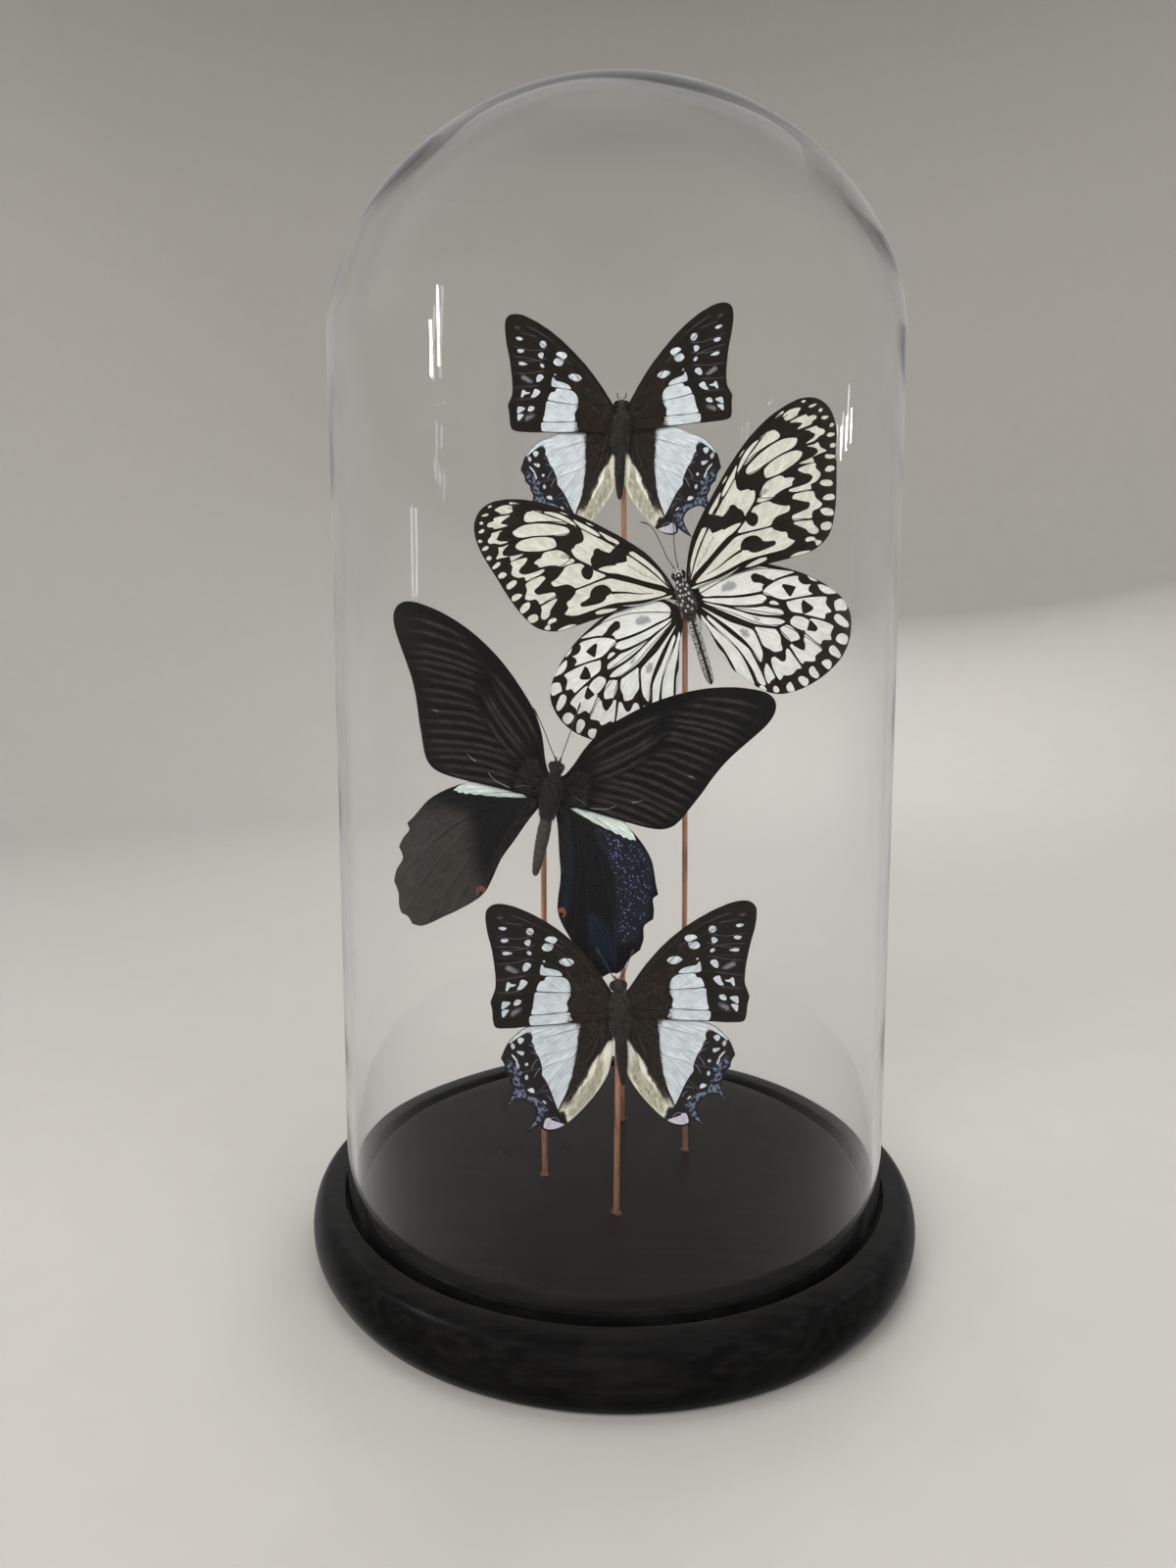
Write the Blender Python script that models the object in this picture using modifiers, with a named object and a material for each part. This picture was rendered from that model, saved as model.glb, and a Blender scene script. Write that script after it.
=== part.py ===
# Butterfly display under a glass dome.
#
# A turned, black-lacquered wooden base carries a tall glass dome in a ring
# groove.  Four copper rods stand in drilled holes in the base, and each rod
# holds one pinned and dried butterfly with its upper side to the front (-Y).
#
# Frame: metres, +Z up, origin at the centre of the base's underside.
# Dimensions below are in millimetres and are turned into metres by MM.

import bpy
import bmesh
import math
from mathutils import Matrix, Vector

MM = 0.001

# ---------------------------------------------------------------- base
BASE_HEIGHT = 22.0
BASE_PLATE_R = 94.25        # raised centre inside the groove
GROOVE_OUTER_R = 101.0
GROOVE_DEPTH = 6.0
BASE_FOOT_R = 107.5         # edge of the flat underside
BASE_MAX_R = 112.5
STEPS_ROUND = 56

# ---------------------------------------------------------------- dome
DOME_R = 100.0
DOME_WALL = 3.0
DOME_SHOULDER_Z = 321.0     # where the straight wall turns into the cap
DOME_CAP_H = 82.6
DOME_CAP_POWER = 1.86       # 2 would be an ellipse, lower is more pointed
GAP = 0.3

# ---------------------------------------------------------------- rods
ROD_R = 1.2
ROD_HOLE_R = 1.6
ROD_HOLE_DEPTH = 12.0

# ---------------------------------------------------------------- wings
WING_T = 0.5                # thickness of a dried wing's solid
HIND_BEHIND = 0.9           # a hindwing lies this far behind the forewing
PIVOT_X = 3.0               # wing roots sit this far beside the body's axis

# Wing outlines of a right wing, seen from above the insect: x away from the
# body, y towards the head, origin at the wing root.  A third value of 1 marks
# a sharp corner, such as a tooth or the tip of a tail.
NAWAB_FORE = [(0.3, 6.4, 1), (2.4, 10.9), (5.8, 15.9), (11.6, 22.9), (18.8, 29.3), (26.4, 34.2),
              (33.8, 37.5), (38.6, 38.2), (41.3, 36.8), (42.0, 34.0), (41.4, 29.0), (40.0, 23.2),
              (38.9, 16.0), (38.7, 10.8), (39.6, 7.9), (40.4, 5.8, 1), (39.8, 2.8), (39.5, -0.8),
              (38.4, -3.0), (34.4, -3.5), (26.0, -3.3), (15.0, -3.0), (5.0, -2.7), (0.8, -2.2, 1)]
NAWAB_HIND = [(0.8, -0.6, 1), (6.0, 0.6), (14.0, 0.5), (20.0, -1.4), (24.0, -3.0), (27.8, -4.0),
              (30.8, -5.8), (33.9, -8.8), (35.4, -11.4), (36.6, -14.4, 1), (35.4, -16.6),
              (35.1, -18.9, 1), (33.6, -20.6), (33.4, -22.4, 1), (32.5, -24.8), (33.9, -28.8),
              (35.9, -33.2, 1), (33.2, -30.2), (30.5, -28.5), (28.0, -29.1), (25.5, -31.0),
              (24.3, -33.8), (25.6, -37.0), (28.3, -40.6, 1), (25.2, -39.2), (22.7, -37.6, 1),
              (22.2, -39.4), (20.2, -40.3), (17.0, -39.9), (13.8, -38.2), (9.3, -34.4),
              (5.0, -29.8), (2.2, -26.0), (0.8, -21.8), (0.8, -17.5), (1.2, -12.0), (1.2, -6.0, 1)]
KITE_FORE = [(0.3, 6.4, 1), (1.3, 12.9), (5.6, 21.3), (11.9, 28.8), (17.4, 34.2), (23.1, 39.6),
             (29.2, 44.5), (35.2, 48.7), (41.3, 52.2), (46.3, 54.3), (51.2, 55.5), (55.7, 55.7),
             (60.4, 54.0), (63.6, 50.0), (64.6, 45.2), (64.2, 39.9), (62.9, 34.6), (61.2, 28.8),
             (59.6, 22.6), (57.7, 16.8), (55.6, 12.0), (53.4, 8.4), (50.3, 5.8), (46.0, 4.1),
             (41.8, 3.7), (37.2, 4.0), (30.3, 4.4), (22.9, 4.7), (13.0, 4.8), (4.0, 4.2), (0.6, 2.8, 1)]
KITE_HIND = [(0.5, 3.0, 1), (5.0, 5.2), (13.0, 6.5), (20.3, 6.2), (27.5, 5.2), (35.6, 2.4),
             (41.4, -1.4), (46.3, -5.6), (50.2, -10.0), (52.8, -14.4), (53.7, -18.8), (53.1, -23.2),
             (51.3, -27.9), (48.0, -32.4), (43.2, -36.2), (38.0, -38.9), (32.8, -40.6),
             (27.8, -41.3), (22.9, -41.0), (18.5, -39.2), (14.8, -36.2), (11.0, -32.3), (7.8, -28.0),
             (5.6, -23.0), (4.0, -17.5), (2.4, -11.0), (1.2, -4.7, 1)]
SWALLOW_FORE = [(0.8, 5.2, 1), (1.8, 9.9), (5.3, 18.8), (10.1, 26.4), (16.3, 32.8), (24.1, 39.3),
                (31.9, 44.3), (40.2, 48.3), (48.7, 51.0), (54.7, 52.0), (59.2, 52.2), (62.4, 51.4),
                (64.4, 49.2), (64.7, 45.9), (63.4, 42.0), (60.6, 37.3), (57.0, 31.8), (53.5, 26.0),
                (50.6, 19.7), (48.3, 13.5), (46.0, 8.1), (43.9, 3.2), (41.2, -0.7), (36.8, -2.8),
                (30.2, -3.4), (22.0, -3.3), (14.0, -3.3), (6.9, -3.4), (1.4, -2.4, 1)]
SWALLOW_HIND = [(1.4, -0.6, 1), (8.0, 1.2), (16.0, 0.6), (21.5, -1.4), (26.0, -4.0), (30.0, -6.6),
                (34.2, -9.8), (38.0, -13.9), (40.4, -18.6), (41.8, -21.6), (43.4, -24.4, 1),
                (42.1, -26.6), (43.4, -29.8), (44.1, -33.2, 1), (42.3, -35.4), (41.7, -37.4),
                (42.8, -41.2), (42.7, -45.4, 1), (41.2, -47.6), (39.9, -49.8), (39.0, -53.4),
                (37.4, -56.2, 1), (34.8, -57.0), (32.6, -59.2, 1), (29.6, -59.2), (26.6, -57.3),
                (22.6, -53.8), (18.6, -50.4), (13.6, -45.6), (10.6, -41.4), (9.4, -36.6),
                (7.9, -28.0), (5.4, -20.5), (2.8, -12.0), (1.6, -6.0, 1)]

# Bodies are turned about their long axis: (distance below the crown, radius).
NAWAB_BODY = [(0.0, 0.0), (0.5, 1.3), (1.8, 2.3), (3.2, 2.3), (4.4, 1.7), (5.8, 2.3), (8.5, 2.9),
              (12.0, 3.0), (16.0, 3.0), (19.0, 2.4), (20.8, 1.9), (23.5, 2.0), (29.0, 1.8),
              (34.0, 1.2), (36.6, 0.7), (37.4, 0.0)]
KITE_BODY = [(0.0, 0.0), (0.4, 1.2), (1.6, 2.2), (3.2, 2.3), (4.6, 1.7), (5.8, 2.2), (8.4, 2.8),
             (12.0, 2.9), (15.5, 2.7), (18.0, 2.0), (19.6, 1.6), (23.0, 1.8), (32.0, 1.8),
             (40.0, 1.7), (43.2, 1.1), (44.4, 0.0)]
SWALLOW_BODY = [(0.0, 0.0), (0.5, 1.4), (1.8, 2.4), (3.4, 2.5), (4.8, 1.9), (6.4, 2.6), (9.0, 3.2),
                (13.0, 3.4), (17.0, 3.0), (19.8, 2.3), (21.4, 2.0), (25.0, 2.3), (32.0, 2.1),
                (38.0, 1.6), (41.4, 0.9), (42.2, 0.0)]

# Antennae as points (x, y, z) from the middle of the thorax: x to the right,
# y towards the head, z up out of the back.  The back specimen has lost most
# of both, so only short stubs are left.
FRONT_FEELERS = {"r": [(1.5, 11.9, 0.9), (2.6, 14.0, 1.3), (4.0, 17.4, 1.5), (5.6, 21.0, 1.5)],
                 "l": [(-1.5, 11.9, 0.9), (-2.8, 14.4, 1.5), (-4.6, 18.4, 2.2), (-6.8, 22.6, 2.6)]}
LEFT_FEELERS = {"r": [(1.0, 12.0, 0.9), (1.8, 17.4, 1.4), (2.6, 22.7, 1.5), (3.3, 27.7, 1.5), (3.8, 33.0, 1.5)],
                "l": [(-1.2, 12.0, 0.9), (-3.6, 15.6, 1.8), (-6.0, 19.8, 2.6), (-8.9, 24.1, 3.2), (-11.8, 27.9, 3.6)]}
RIGHT_FEELERS = {"r": [(0.7, 13.8, 0.7), (0.9, 17.0, 1.2), (1.6, 21.0, 1.5), (2.8, 25.4, 1.5), (4.2, 30.4, 1.5)],
                 "l": [(-1.0, 13.8, 0.7), (-2.2, 17.8, 1.3), (-2.8, 22.3, 1.5), (-3.4, 26.6, 1.5),
                       (-4.3, 29.8, 1.5), (-5.7, 31.8, 1.5), (-7.8, 33.0, 1.5)]}
BACK_FEELERS = {"r": [(1.6, 10.9, 0.7), (1.7, 12.2, 0.8)], "l": [(-1.6, 10.9, 0.7), (-1.7, 12.2, 0.8)]}
FEELER_R = 0.3

# Each butterfly: where the middle of its thorax is (mm), how far its head
# leans to the right and its right side turns to the front (degrees), the V of
# its wings, its size, and each wing's sweep and shift in its own plane.
BUTTERFLIES = {
    "front_nawab": dict(
        fore=NAWAB_FORE, hind=NAWAB_HIND, body=NAWAB_BODY, feelers=FRONT_FEELERS,
        at=(2.2, -44.3, 96.7), crown=11.0, lean=-3.2, turn=-7.0, dihedral=8.0, size=1.0,
        fore_r=(-3.8, 0.0, 0.0), fore_l=(3.8, 0.0, 0.0), hind_r=(-4.8, 0.0, 0.0), hind_l=(4.8, 0.0, 0.0),
        fur=(0.16, 0.12, 0.10), wing=(0.10, 0.09, 0.08)),
    "left_swallowtail": dict(
        fore=SWALLOW_FORE, hind=SWALLOW_HIND, body=SWALLOW_BODY, feelers=LEFT_FEELERS,
        at=(-21.8, -19.6, 168.2), crown=11.0, lean=11.5, turn=2.0, dihedral=8.0, size=1.0,
        fore_r=(-3.0, 0.0, 0.0), fore_l=(3.0, 0.0, 0.0), hind_r=(-4.1, 0.0, 0.0), hind_l=(4.1, 0.0, 0.0),
        fur=(0.05, 0.04, 0.04), wing=(0.03, 0.03, 0.03)),
    "right_kite": dict(
        fore=KITE_FORE, hind=KITE_HIND, body=KITE_BODY, feelers=RIGHT_FEELERS,
        at=(27.0, 3.2, 235.7), crown=12.8, lean=-17.6, turn=5.0, dihedral=6.0, size=1.0,
        fore_r=(-1.0, -0.6, 0.2), fore_l=(1.0, 0.6, -0.2), hind_r=(-3.6, 0.0, 0.0), hind_l=(3.6, 1.2, -3.6),
        fur=(0.08, 0.08, 0.08), wing=(0.80, 0.78, 0.68)),
    "back_nawab": dict(
        fore=NAWAB_FORE, hind=NAWAB_HIND, body=NAWAB_BODY, feelers=BACK_FEELERS,
        at=(2.6, 29.2, 305.7), crown=10.0, lean=0.8, turn=3.5, dihedral=8.0, size=1.02,
        fore_r=(6.1, 0.0, 0.0), fore_l=(0.9, 0.0, 0.0), hind_r=(-4.6, 0.4, 0.8), hind_l=(-5.2, 0.4, 0.8),
        fur=(0.16, 0.12, 0.10), wing=(0.10, 0.09, 0.08)),
}

# Rods: foot on the base, top behind a thorax, and the top's height.  The
# right-hand rod leans a little to the left.
RODS = {
    "rod_front": ((1.4, -38.8), (1.8, -38.8), 98.0),
    "rod_left": ((-25.4, -13.1), (-25.2, -13.1), 169.0),
    "rod_right": ((28.9, 8.7), (26.8, 8.7), 237.0),
    "rod_back": ((4.1, 34.7), (3.9, 34.7), 307.0),
}


# ---------------------------------------------------------------- helpers
for ob in list(bpy.data.objects):
    bpy.data.objects.remove(ob, do_unlink=True)

parts = bpy.data.collections.new("butterfly_dome")
cutters = bpy.data.collections.new("butterfly_dome_cutters")
bpy.context.scene.collection.children.link(parts)
bpy.context.scene.collection.children.link(cutters)


def material(name, colour, roughness, metallic=0.0, alpha=1.0):
    mat = bpy.data.materials.new(name)
    mat.use_nodes = True
    bsdf = mat.node_tree.nodes["Principled BSDF"]
    bsdf.inputs["Base Color"].default_value = (*colour, 1.0)
    bsdf.inputs["Roughness"].default_value = roughness
    bsdf.inputs["Metallic"].default_value = metallic
    bsdf.inputs["Alpha"].default_value = alpha
    return mat


def smooth_outline(points, per_span=3):
    """Closed Catmull-Rom curve through the points, with sharp marked corners."""
    n = len(points)
    out = []
    for i in range(n):
        p0, p1, p2, p3 = (points[(i + k - 1) % n] for k in range(4))
        a, b, c, d = (Vector(p[:2]) for p in (p0, p1, p2, p3))
        if len(p1) > 2:
            a = b * 2 - c
        if len(p2) > 2:
            d = c * 2 - b
        for k in range(per_span):
            t = k / per_span
            q = 0.5 * ((2 * b) + (c - a) * t + (2 * a - 5 * b + 4 * c - d) * t * t
                       + (3 * b - 3 * c + d - a) * t ** 3)
            out.append(q)
    return out


def turned(name, profile, mat, steps, smooth_angle=40.0):
    """Turn a profile of (r, z) points, top to bottom, about Z."""
    me = bpy.data.meshes.new(name)
    bm = bmesh.new()
    verts = [bm.verts.new((r * MM, 0.0, z * MM)) for r, z in profile]
    for a, b in zip(verts[:-1], verts[1:]):
        bm.edges.new((a, b))
    bm.to_mesh(me)
    bm.free()
    ob = bpy.data.objects.new(name, me)
    parts.objects.link(ob)
    mod = ob.modifiers.new("turn", "SCREW")
    mod.axis = "Z"
    mod.angle = math.tau
    mod.steps = steps
    mod.render_steps = steps
    mod.use_merge_vertices = True
    mod.merge_threshold = 0.00002
    mod.use_smooth_shade = True
    me.materials.append(mat)
    return ob


def wing(name, outline, size, side, mat, parent, sweep, shift, dihedral, behind):
    pts = smooth_outline(outline, 2)
    cu = bpy.data.curves.new(name, "CURVE")
    cu.dimensions = "2D"
    cu.fill_mode = "BOTH"
    cu.extrude = 0.5 * WING_T * MM
    sp = cu.splines.new("POLY")
    sp.points.add(len(pts) - 1)
    for p, q in zip(sp.points, pts):
        p.co = (side * q.x * size * MM, q.y * size * MM, 0.0, 1.0)
    sp.use_cyclic_u = True
    cu.materials.append(mat)
    ob = bpy.data.objects.new(name, cu)
    parts.objects.link(ob)
    ob.parent = parent
    ob.matrix_local = (Matrix.Translation((side * PIVOT_X * MM, 0.0, 0.0))
                       @ Matrix.Rotation(math.radians(-side * dihedral), 4, "Y")
                       @ Matrix.Translation((side * shift[0] * MM, shift[1] * MM, -behind * MM))
                       @ Matrix.Rotation(math.radians(side * sweep), 4, "Z"))
    return ob


def feeler(name, points, size, mat, parent):
    cu = bpy.data.curves.new(name, "CURVE")
    cu.dimensions = "3D"
    cu.bevel_depth = FEELER_R * MM
    cu.bevel_resolution = 1
    cu.use_fill_caps = True
    sp = cu.splines.new("POLY")
    ctrl = [Vector(p) for p in points]
    ctrl = [ctrl[0] * 2 - ctrl[1]] + ctrl + [ctrl[-1] * 2 - ctrl[-2]]
    path = []
    for a, b, c, d in zip(ctrl[:-3], ctrl[1:-2], ctrl[2:-1], ctrl[3:]):
        for k in range(2):
            t = k / 2
            path.append(0.5 * ((2 * b) + (c - a) * t + (2 * a - 5 * b + 4 * c - d) * t * t
                               + (3 * b - 3 * c + d - a) * t ** 3))
    path.append(ctrl[-2])
    sp.points.add(len(path) - 1)
    for p, q in zip(sp.points, path):
        p.co = (q.x * size * MM, q.y * size * MM, q.z * size * MM, 1.0)
    cu.materials.append(mat)
    ob = bpy.data.objects.new(name, cu)
    parts.objects.link(ob)
    ob.parent = parent
    return ob


# ---------------------------------------------------------------- base
lacquer = material("black_lacquer", (0.015, 0.014, 0.013), 0.28)
H = BASE_HEIGHT
base_profile = [(0.0, H), (BASE_PLATE_R - 0.8, H), (BASE_PLATE_R, H - 0.8),
                (BASE_PLATE_R, H - GROOVE_DEPTH), (GROOVE_OUTER_R, H - GROOVE_DEPTH),
                (GROOVE_OUTER_R, H - 0.6), (GROOVE_OUTER_R + 0.6, H), (108.2, H),
                (109.7, H - 1.2), (111.3, H - 4.0), (112.2, H - 7.2), (BASE_MAX_R, H - 10.6),
                (112.2, H - 14.0), (111.2, H - 17.4), (109.6, H - 20.4), (BASE_FOOT_R, 0.0), (0.0, 0.0)]
base = turned("base", base_profile, lacquer, STEPS_ROUND)

for name, ((x, y), _, _) in RODS.items():
    bm = bmesh.new()
    bmesh.ops.create_cone(bm, cap_ends=True, segments=14, radius1=ROD_HOLE_R * MM,
                          radius2=ROD_HOLE_R * MM, depth=2 * ROD_HOLE_DEPTH * MM)
    me = bpy.data.meshes.new(name + "_hole")
    bm.to_mesh(me)
    bm.free()
    cut = bpy.data.objects.new(name + "_hole", me)
    cutters.objects.link(cut)
    cut.location = (x * MM, y * MM, BASE_HEIGHT * MM)
    cut.hide_render = True
    cut.display_type = "WIRE"
    mod = base.modifiers.new(name + "_hole", "BOOLEAN")
    mod.operation = "DIFFERENCE"
    mod.solver = "EXACT"
    mod.object = cut

# ---------------------------------------------------------------- dome
glass = material("clear_glass", (0.86, 0.93, 0.91), 0.03, alpha=0.25)


def cap(radius, height, count):
    """Quarter of the cap's profile from the crown down to the shoulder."""
    out = []
    for k in range(count + 1):
        f = math.radians(90.0 * (1.0 - k / count))
        r = radius * max(math.cos(f), 0.0) ** (2.0 / DOME_CAP_POWER)
        z = DOME_SHOULDER_Z + height * max(math.sin(f), 0.0) ** (2.0 / DOME_CAP_POWER)
        out.append((0.0 if k == 0 else r, z))
    return out


rim = H - GROOVE_DEPTH + GAP
outer = cap(DOME_R, DOME_CAP_H, 11) + [(DOME_R, rim + 0.8), (DOME_R - 0.8, rim)]
inner = [(DOME_R - DOME_WALL + 0.8, rim), (DOME_R - DOME_WALL, rim + 0.8)] \
    + cap(DOME_R - DOME_WALL, DOME_CAP_H - DOME_WALL, 11)[::-1]
dome = turned("glass_dome", outer + inner, glass, STEPS_ROUND)

# ---------------------------------------------------------------- rods
copper = material("copper", (0.62, 0.30, 0.19), 0.28, metallic=1.0)
for name, (foot, top, top_z) in RODS.items():
    low = Vector((*foot, BASE_HEIGHT)) * MM
    high = Vector((*top, top_z)) * MM
    low = low - (high - low).normalized() * (ROD_HOLE_DEPTH - 2 * GAP) * MM
    bpy.ops.mesh.primitive_cylinder_add(vertices=14, radius=ROD_R * MM, depth=(high - low).length,
                                        location=(high + low) / 2)
    ob = bpy.context.active_object
    ob.rotation_euler = (high - low).to_track_quat("Z", "Y").to_euler()
    ob.name = name
    ob.data.name = name
    for c in list(ob.users_collection):
        c.objects.unlink(ob)
    parts.objects.link(ob)
    mod = ob.modifiers.new("chamfer", "BEVEL")
    mod.width = 0.25 * MM
    mod.segments = 1
    mod.limit_method = "ANGLE"
    ob.data.materials.append(copper)
    ob.data.shade_smooth()
    ob.data.set_sharp_from_angle(angle=math.radians(40))

# ---------------------------------------------------------------- butterflies
for name, b in BUTTERFLIES.items():
    stand = bpy.data.objects.new(name, None)
    stand.empty_display_size = 0.01
    parts.objects.link(stand)
    stand.matrix_world = (Matrix.Translation(Vector(b["at"]) * MM)
                          @ Matrix.Rotation(math.radians(b["lean"]), 4, "Y")
                          @ Matrix.Rotation(math.radians(90.0), 4, "X")
                          @ Matrix.Rotation(math.radians(-b["turn"]), 4, "Y"))
    fur = material(name + "_fur", b["fur"], 0.9)
    scales = material(name + "_scales", b["wing"], 0.7)

    # the body's profile runs down from the crown of the head to the tail
    s = b["size"]
    body = turned(name + "_body", [(r * s, -d * s) for d, r in b["body"]], fur, 16)
    body.parent = stand
    body.matrix_local = (Matrix.Translation((0.0, b["crown"] * MM, 0.0))
                         @ Matrix.Rotation(math.radians(-90.0), 4, "X"))

    for side, tag in ((1, "r"), (-1, "l")):
        sw, dx, dy = b["fore_" + tag]
        wing("%s_forewing_%s" % (name, tag), b["fore"], s, side, scales, stand,
             sw, (dx, dy), b["dihedral"], 0.0)
        sw, dx, dy = b["hind_" + tag]
        wing("%s_hindwing_%s" % (name, tag), b["hind"], s, side, scales, stand,
             sw, (dx, dy), b["dihedral"], HIND_BEHIND)
        feeler("%s_antenna_%s" % (name, tag), b["feelers"][tag], s, fur, stand)

bpy.context.view_layer.update()
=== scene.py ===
import math

import bpy
import numpy as np
from mathutils import Matrix, Vector
from mathutils.geometry import delaunay_2d_cdt


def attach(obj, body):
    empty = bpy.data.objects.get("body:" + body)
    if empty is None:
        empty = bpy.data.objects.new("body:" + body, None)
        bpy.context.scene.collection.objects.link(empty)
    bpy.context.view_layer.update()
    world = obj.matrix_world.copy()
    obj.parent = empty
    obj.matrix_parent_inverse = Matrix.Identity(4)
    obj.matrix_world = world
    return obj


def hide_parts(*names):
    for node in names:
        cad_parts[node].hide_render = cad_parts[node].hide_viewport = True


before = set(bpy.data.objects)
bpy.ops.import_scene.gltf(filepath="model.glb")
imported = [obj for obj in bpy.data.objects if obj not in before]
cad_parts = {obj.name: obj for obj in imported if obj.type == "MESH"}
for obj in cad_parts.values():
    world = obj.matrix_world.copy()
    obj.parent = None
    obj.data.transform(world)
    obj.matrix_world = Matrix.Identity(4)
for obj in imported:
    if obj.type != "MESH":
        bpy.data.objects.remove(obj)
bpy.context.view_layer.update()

MM = 0.001
scene = bpy.context.scene
coll = scene.collection

# ------------------------------------------------------------------ sizes (mm)
BASE_H, PLATE_R, GROOVE_R, GROOVE_D, FOOT_R, BASE_R = 22.0, 94.25, 101.0, 6.0, 107.5, 112.5
DOME_R, WALL, SHOULDER, CAP_H, CAP_P = 100.0, 3.0, 321.0, 82.6, 1.86
ROD_R, PIVOT_X, HIND_BEHIND, WING_T = 1.2, 3.0, 0.9, 0.22

NAWAB_FORE = [(-1.2, 5.4, 1), (2.4, 10.9), (5.8, 15.9), (11.6, 22.9), (18.8, 29.3), (26.4, 34.2),
              (33.8, 37.5), (38.6, 38.2), (41.3, 36.8), (42.0, 34.0), (41.4, 29.0), (40.0, 23.2),
              (38.9, 16.0), (38.7, 10.8), (39.6, 7.9), (40.4, 5.8, 1), (39.8, 2.8), (39.5, -0.8),
              (38.4, -3.0), (34.4, -3.5), (26.0, -3.3), (15.0, -3.0), (5.0, -2.7), (-1.2, -2.4, 1)]
NAWAB_HIND = [(-1.0, -0.6, 1), (6.0, 0.6), (14.0, 0.5), (20.0, -1.4), (24.0, -3.0), (27.8, -4.0),
              (30.8, -5.8), (33.9, -8.8), (35.4, -11.4), (36.6, -14.4, 1), (35.4, -16.6),
              (35.1, -18.9, 1), (33.6, -20.6), (33.4, -22.4, 1), (32.5, -24.8), (33.9, -28.8),
              (35.9, -33.2, 1), (33.2, -30.2), (30.5, -28.5), (28.0, -29.1), (25.5, -31.0),
              (24.3, -33.8), (25.6, -37.0), (28.3, -40.6, 1), (25.2, -39.2), (22.7, -37.6, 1),
              (22.2, -39.4), (20.2, -40.3), (17.0, -39.9), (13.8, -38.2), (9.3, -34.4),
              (5.0, -29.8), (2.2, -26.0), (0.0, -21.8), (-0.9, -17.5), (-1.3, -12.0), (-1.4, -6.0, 1)]
KITE_FORE = [(-1.2, 5.0, 1), (1.3, 12.9), (5.6, 21.3), (11.9, 28.8), (17.4, 34.2), (23.1, 39.6),
             (29.2, 44.5), (35.2, 48.7), (41.3, 52.2), (46.3, 54.3), (51.2, 55.5), (55.7, 55.7),
             (60.4, 54.0), (63.6, 50.0), (64.6, 45.2), (64.2, 39.9), (62.9, 34.6), (61.2, 28.8),
             (59.6, 22.6), (57.7, 16.8), (55.6, 12.0), (53.4, 8.4), (50.3, 5.8), (46.0, 4.1),
             (41.8, 3.7), (37.2, 4.0), (30.3, 4.4), (22.9, 4.7), (13.0, 4.8), (4.0, 4.2), (-1.2, 2.0, 1)]
KITE_HIND = [(-1.2, 3.4, 1), (5.0, 8.2), (13.0, 9.6), (20.3, 8.8), (27.5, 6.6), (35.6, 2.4),
             (41.4, -1.4), (46.3, -5.6), (50.2, -10.0), (52.8, -14.4), (53.7, -18.8), (53.1, -23.2),
             (51.3, -27.9), (48.0, -32.4), (43.2, -36.2), (38.0, -38.9), (32.8, -40.6),
             (27.8, -41.3), (22.9, -41.0), (18.5, -39.2), (14.8, -36.2), (11.0, -32.3), (7.8, -28.0),
             (5.6, -23.0), (4.0, -17.5), (2.2, -11.0), (-0.9, -3.6, 1)]
SWALLOW_FORE = [(-1.2, 4.6, 1), (1.8, 9.9), (5.3, 18.8), (10.1, 26.4), (16.3, 32.8), (24.1, 39.3),
                (31.9, 44.3), (40.2, 48.3), (48.7, 51.0), (54.7, 52.0), (59.2, 52.2), (62.4, 51.4),
                (64.4, 49.2), (64.7, 45.9), (63.4, 42.0), (60.6, 37.3), (57.0, 31.8), (53.5, 26.0),
                (50.6, 19.7), (48.3, 13.5), (46.0, 8.1), (43.9, 3.2), (41.2, -0.7), (36.8, -2.8),
                (30.2, -3.4), (22.0, -3.3), (14.0, -3.3), (6.9, -3.4), (-1.2, -2.6, 1)]
SWALLOW_HIND = [(-1.0, -0.6, 1), (8.0, 1.2), (16.0, 0.6), (21.5, -1.4), (26.0, -4.0), (30.0, -6.6),
                (34.2, -9.8), (38.0, -13.9), (40.4, -18.6), (41.8, -21.6), (43.4, -24.4, 1),
                (42.1, -26.6), (43.4, -29.8), (44.1, -33.2, 1), (42.3, -35.4), (41.7, -37.4),
                (42.8, -41.2), (42.7, -45.4, 1), (41.2, -47.6), (39.9, -49.8), (39.0, -53.4),
                (37.4, -56.2, 1), (34.8, -57.0), (32.6, -59.2, 1), (29.6, -59.2), (26.6, -57.3),
                (22.6, -53.8), (18.6, -50.4), (13.6, -45.6), (10.6, -41.4), (9.4, -36.6),
                (7.9, -28.0), (5.2, -20.5), (2.2, -12.0), (-0.6, -5.6, 1)]

NAWAB_BODY = [(0.0, 0.0), (0.5, 1.3), (1.8, 2.3), (3.2, 2.3), (4.4, 1.7), (5.8, 2.3), (8.5, 2.9),
              (12.0, 3.0), (16.0, 3.0), (19.0, 2.4), (20.8, 1.9), (23.5, 2.0), (29.0, 1.8),
              (34.0, 1.2), (36.6, 0.7), (37.4, 0.0)]
KITE_BODY = [(0.0, 0.0), (0.4, 1.2), (1.6, 2.2), (3.2, 2.3), (4.6, 1.7), (5.8, 2.2), (8.4, 2.8),
             (12.0, 2.9), (15.5, 2.7), (18.0, 2.0), (19.6, 1.6), (23.0, 1.8), (32.0, 1.8),
             (40.0, 1.7), (43.2, 1.1), (44.4, 0.0)]
SWALLOW_BODY = [(0.0, 0.0), (0.5, 1.4), (1.8, 2.4), (3.4, 2.5), (4.8, 1.9), (6.4, 2.6), (9.0, 3.2),
                (13.0, 3.4), (17.0, 3.0), (19.8, 2.3), (21.4, 2.0), (25.0, 2.3), (32.0, 2.1),
                (38.0, 1.6), (41.4, 0.9), (42.2, 0.0)]
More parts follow.
